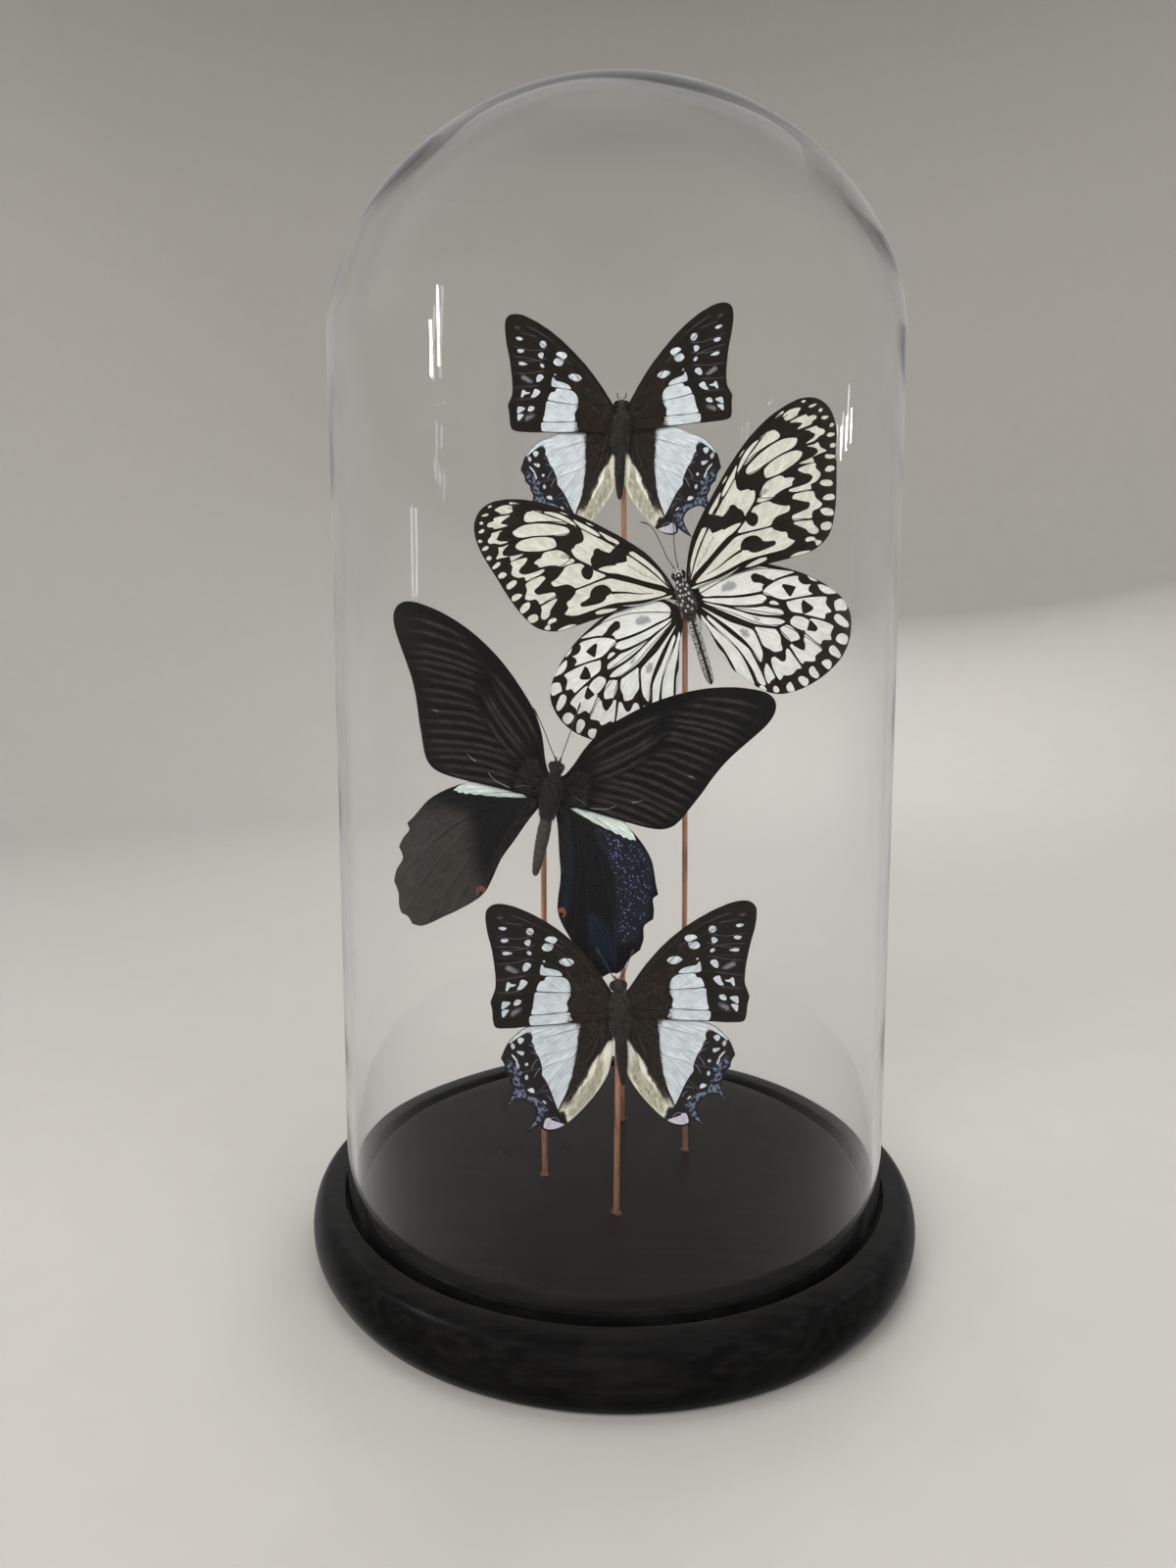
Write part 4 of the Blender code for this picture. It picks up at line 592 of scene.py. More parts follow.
# ------------------------------------------------------------------ node helpers
class Nodes:
    def __init__(self, name):
        self.mat = bpy.data.materials.new(name)
        self.mat.use_nodes = True
        self.t = self.mat.node_tree
        self.bsdf = self.t.nodes["Principled BSDF"]
        self.out = self.t.nodes["Material Output"]

    def link(self, a, b):
        self.t.links.new(a, b)

    def put(self, sock, v):
        if isinstance(v, bpy.types.NodeSocket):
            self.link(v, sock)
        else:
            sock.default_value = (*v, 1.0) if isinstance(v, tuple) and len(v) == 3 and sock.type == "RGBA" else v

    def attr(self, name, vector=False):
        n = self.t.nodes.new("ShaderNodeAttribute")
        n.attribute_type = "GEOMETRY"
        n.attribute_name = name
        return n.outputs["Vector" if vector else "Fac"]

    def position(self):
        return self.t.nodes.new("ShaderNodeTexCoord").outputs["Object"]

    def scaled(self, vec, xyz):
        n = self.t.nodes.new("ShaderNodeMapping")
        self.link(vec, n.inputs["Vector"])
        n.inputs["Scale"].default_value = xyz
        return n.outputs[0]

    def noise(self, vec, scale, detail=3.0, rough=0.5, distortion=0.0):
        n = self.t.nodes.new("ShaderNodeTexNoise")
        self.link(vec, n.inputs["Vector"])
        n.inputs["Scale"].default_value = scale
        n.inputs["Detail"].default_value = detail
        n.inputs["Roughness"].default_value = rough
        n.inputs["Distortion"].default_value = distortion
        return n.outputs["Fac"]

    def voronoi(self, vec, scale, out="Distance"):
        n = self.t.nodes.new("ShaderNodeTexVoronoi")
        self.link(vec, n.inputs["Vector"])
        n.inputs["Scale"].default_value = scale
        return n.outputs[out]

    def math(self, op, a, b=0.0, c=0.0, clamp=False):
        n = self.t.nodes.new("ShaderNodeMath")
        n.operation = op
        n.use_clamp = clamp
        self.put(n.inputs[0], a)
        self.put(n.inputs[1], b)
        self.put(n.inputs[2], c)
        return n.outputs[0]

    def band(self, v, lo, hi, to_lo=0.0, to_hi=1.0):
        n = self.t.nodes.new("ShaderNodeMapRange")
        n.interpolation_type = "SMOOTHSTEP"
        self.put(n.inputs["Value"], v)
        n.inputs["From Min"].default_value = lo
        n.inputs["From Max"].default_value = hi
        n.inputs["To Min"].default_value = to_lo
        n.inputs["To Max"].default_value = to_hi
        return n.outputs["Result"]

    def mix(self, f, a, b):
        n = self.t.nodes.new("ShaderNodeMix")
        n.data_type = "RGBA"
        self.put(n.inputs[0], f)
        self.put(n.inputs[6], a)
        self.put(n.inputs[7], b)
        return n.outputs[2]

    def bump(self, height, strength, dist):
        n = self.t.nodes.new("ShaderNodeBump")
        self.link(height, n.inputs["Height"])
        n.inputs["Strength"].default_value = strength
        n.inputs["Distance"].default_value = dist
        self.link(n.outputs[0], self.bsdf.inputs["Normal"])

    def set(self, **kw):
        for k, v in kw.items():
            self.put(self.bsdf.inputs[k.replace("_", " ")], v)


def wing_material(name, ground, layers, veins, rough=0.62, sheen=0.02, tint=(0.8, 0.8, 0.8), spec=0.14):
    N = Nodes(name)
    pos, ray = N.attr("wing_mm", True), N.attr("wing_ray", True)
    grain = N.noise(pos, 3.2, 5.0, 0.62)
    fibre = N.noise(ray, 1.7, 6.0, 0.68)
    cloud = N.noise(pos, 0.22, 3.0, 0.5)
    mottle = N.math("ADD", N.math("MULTIPLY", grain, 0.5), N.math("MULTIPLY", fibre, 0.5))
    mottle = N.band(mottle, 0.32, 0.68)
    col = N.mix(mottle, ground[0], ground[1])
    for key, c0, c1, soft in layers:
        a = N.attr(key)
        if soft == "dust":
            size = N.math("MULTIPLY", N.math("ADD", N.math("MULTIPLY", cloud, 0.30), 0.13), a)
            speck = N.band(N.math("SUBTRACT", size, N.voronoi(pos, 1.05)), -0.02, 0.07)
            a = N.math("MULTIPLY", N.math("ADD", N.math("MULTIPLY", speck, 0.9), 0.03), N.band(a, 0.1, 0.6), clamp=True)
        elif soft == "blue":
            a = N.math("MULTIPLY", a, N.band(N.attr("edge"), 0.10, 0.26), clamp=True)
        elif soft:
            a = N.math("MULTIPLY", a, N.band(N.math("ADD", mottle, N.math("MULTIPLY", a, 1.2)), 0.15, 1.0, 0.25, 1.0), clamp=True)
        if soft == "blue":
            shade = N.mix(N.band(N.math("ADD", N.math("MULTIPLY", N.noise(pos, 0.75, 3.0, 0.6), 0.8), N.math("MULTIPLY", fibre, 0.2)), 0.44, 0.58), c0, c1)
        else:
            shade = N.mix(N.band(N.math("ADD", N.math("MULTIPLY", mottle, 0.6), N.math("MULTIPLY", cloud, 0.4)), 0.22, 0.78), c0, c1)
        col = N.mix(a, col, shade)
    if veins is not None:
        col = N.mix(N.math("MULTIPLY", N.attr("vein"), veins[1]), col, veins[0])
    # worn, darker and duller right along the margin
    col = N.mix(N.band(N.attr("edge"), 0.0, 0.35, 0.35, 0.0), col, ground[0])
    N.set(Base_Color=col, Roughness=N.band(N.math("ADD", grain, N.math("MULTIPLY", fibre, 0.6)), 0.4, 1.2, rough - 0.1, rough + 0.14))
    N.bsdf.inputs["Sheen Weight"].default_value = sheen
    N.bsdf.inputs["Sheen Roughness"].default_value = 0.35
    N.bsdf.inputs["Sheen Tint"].default_value = (*tint, 1.0)
    N.bsdf.inputs["Specular IOR Level"].default_value = spec
    scales = N.math("ADD", N.voronoi(N.scaled(pos, (7.0, 4.5, 1.0)), 1.0), N.math("MULTIPLY", fibre, 0.8))
    N.bump(scales, 0.35, 0.00006)
    return N.mat


KITE_PALE = [("pale", (0.54, 0.53, 0.46), (0.79, 0.785, 0.705), False), ("grey", (0.30, 0.30, 0.28), (0.40, 0.40, 0.38), True),
             ("dark", (0.008, 0.006, 0.005), (0.020, 0.015, 0.011), False)]
KITE_PALE_H = [("pale", (0.62, 0.63, 0.58), (0.86, 0.87, 0.84), False), ("grey", (0.30, 0.31, 0.31), (0.40, 0.41, 0.41), True),
               ("dark", (0.008, 0.006, 0.005), (0.020, 0.015, 0.011), False)]
NAWAB_LAYERS = [("brown", (0.009, 0.0055, 0.004), (0.030, 0.020, 0.014), True), ("mist", (0.10, 0.10, 0.12), (0.24, 0.24, 0.27), True),
                ("mist_line", (0.09, 0.09, 0.11), (0.20, 0.20, 0.23), False), ("blue", (0.012, 0.014, 0.022), (0.17, 0.20, 0.28), "blue"),
                ("cream", (0.66, 0.64, 0.50), (0.94, 0.93, 0.80), True), ("tan", (0.40, 0.34, 0.24), (0.52, 0.46, 0.35), True),
                ("pale", (0.43, 0.48, 0.52), (0.76, 0.81, 0.85), False), ("lilac", (0.44, 0.41, 0.50), (0.66, 0.63, 0.70), False)]
MATS = {
    ("kite", "fore"): wing_material("kite_forewing_scales", ((0.007, 0.0055, 0.0045), (0.020, 0.016, 0.012)), KITE_PALE, ((0.008, 0.0065, 0.005), 0.95)),
    ("kite", "hind"): wing_material("kite_hindwing_scales", ((0.007, 0.0055, 0.0045), (0.020, 0.016, 0.012)), KITE_PALE_H, ((0.008, 0.0065, 0.005), 0.95)),
    ("nawab", "fore"): wing_material("nawab_forewing_scales", ((0.007, 0.006, 0.005), (0.020, 0.016, 0.013)), NAWAB_LAYERS, ((0.035, 0.030, 0.027), 0.8), rough=0.58),
    ("nawab", "hind"): wing_material("nawab_hindwing_scales", ((0.010, 0.009, 0.010), (0.026, 0.022, 0.022)), NAWAB_LAYERS, ((0.17, 0.17, 0.17), 0.65), rough=0.58),
    ("swallowtail", "fore"): wing_material("swallowtail_forewing_scales", ((0.0035, 0.0035, 0.004), (0.008, 0.0075, 0.0075)),
                                           [("streak", (0.020, 0.019, 0.018), (0.054, 0.050, 0.046), True), ("mist_line", (0.12, 0.11, 0.11), (0.30, 0.29, 0.28), False)],
                                           ((0.004, 0.004, 0.004), 0.8), rough=0.66, sheen=0.015, tint=(0.6, 0.6, 0.7), spec=0.10),
    ("swallowtail", "hind"): wing_material("swallowtail_hindwing_scales", ((0.004, 0.004, 0.005), (0.010, 0.0095, 0.0105)),
                                           # the left hindwing's lighter, greyer layer is partly painted
                                           # glass-reflection haze
                                           [("painted_sheen", (0.006, 0.010, 0.017), (0.012, 0.019, 0.030), True), ("dull_painted_haze", (0.026, 0.022, 0.020), (0.056, 0.049, 0.044), True), ("dust", (0.09, 0.12, 0.25), (0.30, 0.37, 0.62), "dust"),
                                            ("pale", (0.40, 0.48, 0.44), (0.80, 0.86, 0.81), False), ("red", (0.15, 0.040, 0.028), (0.27, 0.105, 0.085), False)],
                                           ((0.026, 0.024, 0.024), 0.6), rough=0.66, sheen=0.015, tint=(0.6, 0.65, 0.8), spec=0.10),
}


# ------------------------------------------------------------------ bodies
def tube(points, radii, sides=8, ends=True):
    """A round tube through the points (mm) with a radius at each; returns verts and faces."""
    p = np.array(points, float)
    d = np.gradient(p, axis=0)
    d /= np.linalg.norm(d, axis=1)[:, None] + 1e-12
    up = np.array([0.0, 0.0, 1.0]) if abs(d[0][2]) < 0.9 else np.array([1.0, 0.0, 0.0])
    u = np.cross(d[0], up)
    u /= np.linalg.norm(u)
    rows = []
    for k in range(len(p)):
        u = u - d[k] * (u @ d[k])
        u /= np.linalg.norm(u)
        w = np.cross(d[k], u)
        a = np.linspace(0, math.tau, sides, endpoint=False)
        rows.append(p[k] + radii[k] * (np.cos(a)[:, None] * u + np.sin(a)[:, None] * w))
    v = np.vstack(rows)
    f = []
    for k in range(len(p) - 1):
        for i in range(sides):
            j = (i + 1) % sides
            f.append((k * sides + i, k * sides + j, (k + 1) * sides + j, (k + 1) * sides + i))
    if ends:
        f.append(tuple(range(sides))[::-1])
        f.append(tuple((len(p) - 1) * sides + i for i in range(sides)))
    return v, f


class Heap:
    """Collects small pieces into one mesh."""

    def __init__(self):
        self.v, self.f, self.n, self.tag = [], [], 0, []

    def add(self, v, f, tag=0.0):
        self.v.append(v)
        self.f += [tuple(i + self.n for i in q) for q in f]
        self.n += len(v)
        self.tag.append(np.full(len(v), tag) if np.isscalar(tag) else tag)

    def build(self, name, matrix, mat, sharp=None):
        co = apply(matrix, np.vstack(self.v) * MM)
        ob = make_mesh(name, co, self.f, mat, sharp)
        set_attr(ob.data, "tag", np.concatenate(self.tag))
        return ob


def ball(centre, radii, seg=20, rings=12):
    v, f = [], []
    for i in range(rings + 1):
        th = math.pi * i / rings
        for j in range(seg):
            ph = math.tau * j / seg
            v.append((math.sin(th) * math.cos(ph), math.sin(th) * math.sin(ph), math.cos(th)))
    for i in range(rings):
        for j in range(seg):
            k = (j + 1) % seg
            f.append((i * seg + j, (i + 1) * seg + j, (i + 1) * seg + k, i * seg + k))
    return np.array(v) * np.array(radii) + np.array(centre), f


def profile_radius(profile, d):
    p = np.array(profile, float)
    c = open_curve(p, 0.25)
    c[:, 1] = np.maximum(c[:, 1], 0.0)
    order = np.argsort(c[:, 0])
    return np.interp(d, c[order, 0], c[order, 1])


KITE_DOTS = [(0.0, 12.0, 0.38), (-0.95, 11.6, 0.34), (0.95, 11.6, 0.34), (-1.5, 10.5, 0.4), (1.5, 10.5, 0.4), (0, 10.4, 0.34),
             (-1.1, 8.3, 0.42), (1.1, 8.3, 0.42), (-0.5, 7.0, 0.3), (0.5, 7.0, 0.3), (-2.0, 6.2, 0.5), (2.0, 6.2, 0.5),
             (-1.0, 5.0, 0.36), (1.0, 5.0, 0.36), (-1.7, 3.2, 0.45), (1.7, 3.2, 0.45), (-0.5, 3.0, 0.3), (0.5, 3.0, 0.3),
             (-1.2, 1.2, 0.4), (1.2, 1.2, 0.4), (-2.1, 0.0, 0.5), (2.1, 0.0, 0.5), (0, -1.2, 0.42), (-1.2, -2.6, 0.36), (1.2, -2.6, 0.36)]


def body_mesh(name, b, mat):
    prof, crown, s = b["body"], b["crown"], b["size"]
    length = prof[-1][0]
    waist = {"nawab": 20.0, "kite": 18.8, "swallowtail": 20.6}[b["kind"]]
    m, k = 200, 72
    d = length * (0.5 - 0.5 * np.cos(np.linspace(0, math.pi, m)) * 0.15 / 0.15) if False else np.linspace(0.0, length, m)
    d = np.concatenate([[0.0, 0.08, 0.2, 0.35], d[2:-2], [length - 0.2, length - 0.08, length]])
    r = profile_radius(prof, d)
    seg = np.clip((d - waist) / (length - waist), 0, 1)
    ring = (seg * 8.0) % 1.0
    groove = np.exp(-(np.minimum(ring, 1 - ring) / 0.10) ** 2) * (seg > 0.02) * (seg < 0.97)
    r = r * (1 - 0.10 * groove + 0.03 * np.sin(ring * math.pi) * (seg > 0))
    r[0] = r[-1] = 0.02
    a = np.linspace(0, math.tau, k, endpoint=False)
    X = np.outer(r, np.cos(a)) * s
    Z = np.outer(r, np.sin(a)) * s * 0.94
    Y = np.repeat((crown - d * s)[:, None], k, 1)
    thorax = np.exp(-((d - 11.5) / 5.0) ** 2)[:, None]
    Z += 0.12 * thorax * np.cos(2 * a)[None] * -1.0
    rng = np.random.default_rng(31)
    bumpy = rng.normal(0, 0.018, X.shape)
    X, Z = X * (1 + bumpy), Z * (1 + bumpy)
    v = np.stack([X.ravel(), Y.ravel(), Z.ravel()], 1)
    f = []
    n = len(d)
    for i in range(n - 1):
        for j in range(k):
            q = (j + 1) % k
            f.append((i * k + j, i * k + q, (i + 1) * k + q, (i + 1) * k + j))
    f.append(tuple(range(k))[::-1])
    f.append(tuple((n - 1) * k + i for i in range(k)))
    heap = Heap()
    heap.add(v, [q[::-1] for q in f])
    eye = {"nawab": 1.55, "kite": 1.25, "swallowtail": 1.5}[b["kind"]] * s
    for side in (1, -1):
        ev, ef = ball((side * 1.75 * s, crown - 2.1 * s, 0.75 * s), (eye * 0.84, eye, eye * 0.95), 28, 18)
        heap.add(ev, ef, 1.0)
        # palps, held up in front of the face
        pv, pf = tube(open_curve([(side * 0.55, crown - 1.0, -0.9), (side * 0.75, crown + 0.5, -0.7), (side * 0.6, crown + 1.6, -0.1)], 0.2),
                      np.concatenate([np.linspace(0.42, 0.5, 8), np.linspace(0.5, 0.14, 40)])[:60], 8) if False else (None, None)
        line = open_curve([(side * 0.55, crown - 1.0, -0.6), (side * 0.8, crown + 0.3, -0.4), (side * 0.62, crown + 1.1, 0.2)], 0.15)
        pv, pf = tube(line, np.interp(np.linspace(0, 1, len(line)), [0, 0.6, 1], [0.45, 0.42, 0.12]), 10)
        heap.add(pv, pf, 0.5)
    ob = heap.build(name, stand_matrix(b), mat, sharp=60)
    me = ob.data
    allv = np.vstack(heap.v)
    dots = np.zeros(len(allv))
    if b["kind"] == "kite":
        for x, y, rr in KITE_DOTS:
            q = np.hypot(allv[:, 0] - x, (allv[:, 1] - y) * 0.8)
            dots = np.maximum(dots, np.clip((rr - q) / 0.15 + 0.5, 0, 1) * (allv[:, 2] > 0))
    set_attr(me, "dots", dots)
    set_attr(me, "body_mm", allv, kind="FLOAT_VECTOR")
    set_attr(me, "abdomen", np.clip((crown - waist * s - allv[:, 1]) / 1.5, 0, 1))
    set_attr(me, "ring", np.concatenate([np.repeat(groove, k), np.zeros(len(allv) - n * k)]))
    return ob


def body_material(name, c0, c1, abdomen0, abdomen1, pale, eye, stripe=False):
    N = Nodes(name)
    pos = N.attr("body_mm", True)
    grain = N.noise(pos, 2.6, 5.0, 0.65)
    fine = N.noise(N.scaled(pos, (3.0, 0.8, 3.0)), 3.0, 3.0, 0.6)
    mott = N.band(N.math("ADD", N.math("MULTIPLY", grain, 0.5), N.math("MULTIPLY", fine, 0.5)), 0.35, 0.65)
    col = N.mix(mott, c0, c1)
    ab = N.mix(mott, abdomen0, abdomen1)
    if stripe:
        sep = N.t.nodes.new("ShaderNodeSeparateXYZ")
        N.link(pos, sep.inputs[0])
        pepper = N.band(N.noise(pos, 2.0, 3.0, 0.7), 0.43, 0.55)
        side = N.mix(pepper, (0.025, 0.023, 0.022), (0.60, 0.60, 0.56))
        top = N.band(N.math("ABSOLUTE", N.math("SUBTRACT", sep.outputs[0], 0.15)), 0.40, 0.65)
        ab = N.mix(top, (0.012, 0.011, 0.010), side)
    col = N.mix(N.attr("abdomen"), col, ab)
    col = N.mix(N.math("MULTIPLY", N.attr("ring"), 0.6), col, (0.012, 0.010, 0.009))
    col = N.mix(N.attr("dots"), col, pale)
    tag = N.attr("tag")
    col = N.mix(N.band(tag, 0.3, 0.45), col, pale)
    col = N.mix(N.band(tag, 0.75, 0.9), col, eye)
    N.set(Base_Color=col, Roughness=N.band(tag, 0.75, 0.9, 0.78, 0.16))
    N.bsdf.inputs["Sheen Weight"].default_value = 0.03
    N.bsdf.inputs["Sheen Roughness"].default_value = 0.5
    N.bump(N.math("MULTIPLY", grain, N.band(tag, 0.3, 0.6, 1.0, 0.0)), 0.6, 0.00025)
    return N.mat


def fur(name, b, mat, count, seed, length, where, flank=False):
    """Hairs as thin bent spikes over the thorax, neck and abdomen."""
    rng = np.random.default_rng(seed)
    prof, crown, s = b["body"], b["crown"], b["size"]
    lo, hi = where
    d = lo + (hi - lo) * rng.random(count) ** 1.15
    a = rng.uniform(0, math.tau, count)
    if flank:
        a = rng.normal(0.25, 0.45, count) + 0.0
        a = np.where(rng.random(count) < 0.5, a, math.pi - a)
    r = profile_radius(prof, d) * s
    root = np.stack([r * np.cos(a), crown - d * s, r * np.sin(a) * 0.94], 1)
    out = np.stack([np.cos(a), np.zeros(count), np.sin(a)], 1)
    lay = out * rng.uniform(0.25, 0.75, (count, 1)) + np.array([0, -1.0, 0]) * rng.uniform(0.5, 1.1, (count, 1)) + rng.normal(0, 0.22, (count, 3))
    if flank:
        lay = out * rng.uniform(0.8, 1.3, (count, 1)) + np.array([0, -1.0, 0.12]) * rng.uniform(0.1, 1.2, (count, 1)) + rng.normal(0, 0.16, (count, 3))
    lay /= np.linalg.norm(lay, axis=1)[:, None]
    ln = length * rng.uniform(0.5, 1.1, count) * np.clip(1.2 - (d - 6) / 26, 0.45, 1)
    mid = root + lay * ln[:, None] * 0.5 + out * 0.10
    tip = root + lay * ln[:, None] + np.array([0, -0.25, 0]) * ln[:, None]
    side = np.cross(lay, out)
    side /= np.linalg.norm(side, axis=1)[:, None] + 1e-9
    w = rng.uniform(0.05, 0.11, count)[:, None]
    up = np.cross(side, lay)
    v = np.stack([root - side * w - out * 0.1, root + side * w - out * 0.1, root + up * w * 1.3, mid - side * w * 0.8, mid + side * w * 0.8,
                  mid + up * w, tip], 1).reshape(-1, 3)
    base = (np.arange(count) * 7)[:, None, None]
    q = np.array([[0, 1, 4, 3], [1, 2, 5, 4], [2, 0, 3, 5]])[None] + base
    t = np.array([[3, 4, 6], [4, 5, 6], [5, 3, 6]])[None] + base
    faces = q.reshape(-1, 4).tolist() + t.reshape(-1, 3).tolist()
    ob = make_mesh(name, apply(stand_matrix(b), v * MM), faces, mat)
    set_attr(ob.data, "tag", np.repeat(rng.random(count), 7))
    set_attr(ob.data, "tip", np.tile([0, 0, 0, 0.5, 0.5, 0.5, 1.0], count))
    return ob


def fur_material(name, c0, c1, tip):
    N = Nodes(name)
    tuft = N.band(N.noise(N.position(), 620.0, 3.0, 0.6), 0.40, 0.60)
    col = N.mix(N.math("MULTIPLY", N.math("ADD", N.attr("tag"), tuft), 0.5), c0, c1)
    col = N.mix(N.math("MULTIPLY", N.attr("tip"), tuft), col, tip)
    N.set(Base_Color=col, Roughness=N.band(N.attr("tag"), 0, 1, 0.5, 0.75))
    N.bsdf.inputs["Sheen Weight"].default_value = 0.04
    return N.mat


def limb_material(name, c0, c1):
    N = Nodes(name)
    pos = N.position()
    g = N.noise(pos, 2200.0, 3.0, 0.6)
    rings = N.band(N.noise(pos, 5000.0, 1.0), 0.45, 0.6)
    N.set(Base_Color=N.mix(N.math("MULTIPLY", N.math("ADD", g, rings), 0.5), c0, c1), Roughness=N.band(g, 0.3, 0.7, 0.38, 0.6))
    N.bump(g, 0.4, 0.00005)
    return N.mat


BODY_MATS = {
    "nawab": body_material("nawab_body_coat", (0.016, 0.015, 0.012), (0.045, 0.042, 0.036), (0.010, 0.008, 0.006), (0.034, 0.027, 0.021), (0.34, 0.27, 0.24), (0.008, 0.006, 0.006)),
    "kite": body_material("kite_body_coat", (0.010, 0.010, 0.010), (0.030, 0.029, 0.028), (0.05, 0.05, 0.045), (0.3, 0.3, 0.28), (0.74, 0.74, 0.70), (0.010, 0.009, 0.009), True),
    "swallowtail": body_material("swallowtail_body_coat", (0.008, 0.008, 0.008), (0.022, 0.019, 0.017), (0.030, 0.026, 0.022), (0.085, 0.072, 0.062), (0.05, 0.042, 0.036), (0.014, 0.010, 0.008)),
}
FUR_MATS = {
    "nawab": fur_material("nawab_hair", (0.008, 0.007, 0.006), (0.050, 0.048, 0.038), (0.13, 0.128, 0.10)),
    "kite": fur_material("kite_hair", (0.012, 0.012, 0.012), (0.10, 0.10, 0.095), (0.42, 0.42, 0.40)),
    "swallowtail": fur_material("swallowtail_hair", (0.008, 0.007, 0.007), (0.034, 0.030, 0.026), (0.075, 0.066, 0.056)),
}
limb_mat = limb_material("leg_and_antenna_shell", (0.010, 0.008, 0.007), (0.045, 0.034, 0.026))


def limbs(name, b):
    heap = Heap()
    s, crown = b["size"], b["crown"]
    for side in (1, -1):
        for k, (y, reach) in enumerate(((4.2, 3.2), (1.0, 3.9), (-2.2, 3.6))):
            line = open_curve([(side * 1.2, y, -2.2), (side * reach, y + 1.6 - k * 0.8, -3.9), (side * (reach - 0.4), y - 1.6 - k, -4.8),
                               (side * (reach - 1.0), y - 4.6 - k * 1.2, -4.4), (side * (reach - 1.3), y - 6.6 - k * 1.4, -4.9)], 0.35)
            t = np.linspace(0, 1, len(line))
            v, f = tube(line * s, np.interp(t, [0, 0.22, 0.3, 0.55, 0.62, 1], [0.34, 0.30, 0.22, 0.17, 0.12, 0.09]) * s, 8)
            heap.add(v, f)
    # coiled tongue under the head
    a = np.linspace(0, 2.6 * math.tau, 60)
    rr = 0.95 - 0.27 * a / math.tau
    coil = np.stack([np.zeros(60), crown - 1.7 * s + rr * np.cos(a), -2.9 * s + rr * np.sin(a)], 1)
    v, f = tube(coil, np.full(60, 0.13), 6)
    heap.add(v, f)
    return heap.build(name, stand_matrix(b), limb_mat, 60)


def feelers(name, b):
    heap = Heap()
    for tag in ("r", "l"):
        pts = b["feelers"][tag]
        line = open_curve(pts, 0.3) * b["size"]
        t = np.linspace(0, 1, len(line))
        stub = len(pts) < 3
        club = {"nawab": 0.42, "kite": 0.28, "swallowtail": 0.40}[b["kind"]]
        rad = np.full(len(t), 0.2) if stub else np.interp(t, [0, 0.03, 0.8, 0.93, 1], [0.26, 0.17, 0.16, club, club * 0.45])
        rad = rad * (1 + 0.10 * np.cos(np.arange(len(t)) * math.pi))
        start = line[0] + (line[0] - line[1]) * 2.5
        line = np.vstack([start, line])
        rad = np.concatenate([[0.24], rad])
        v, f = tube(line, rad, 8)
        heap.add(v, f)
    return heap.build(name, stand_matrix(b), limb_mat, 60)


def ready(ob, slot, *nodes):
    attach(ob, "root")
    if nodes:
        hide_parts(*nodes)
    return ob


brown_hair = fur_material("nawab_wing_hair", (0.010, 0.007, 0.005), (0.034, 0.024, 0.018), (0.070, 0.054, 0.040))
cream_hair = fur_material("nawab_cream_hair", (0.50, 0.48, 0.36), (0.80, 0.79, 0.66), (0.86, 0.85, 0.74))
black_hair = fur_material("swallowtail_wing_hair", (0.004, 0.004, 0.004), (0.018, 0.016, 0.015), (0.04, 0.036, 0.032))


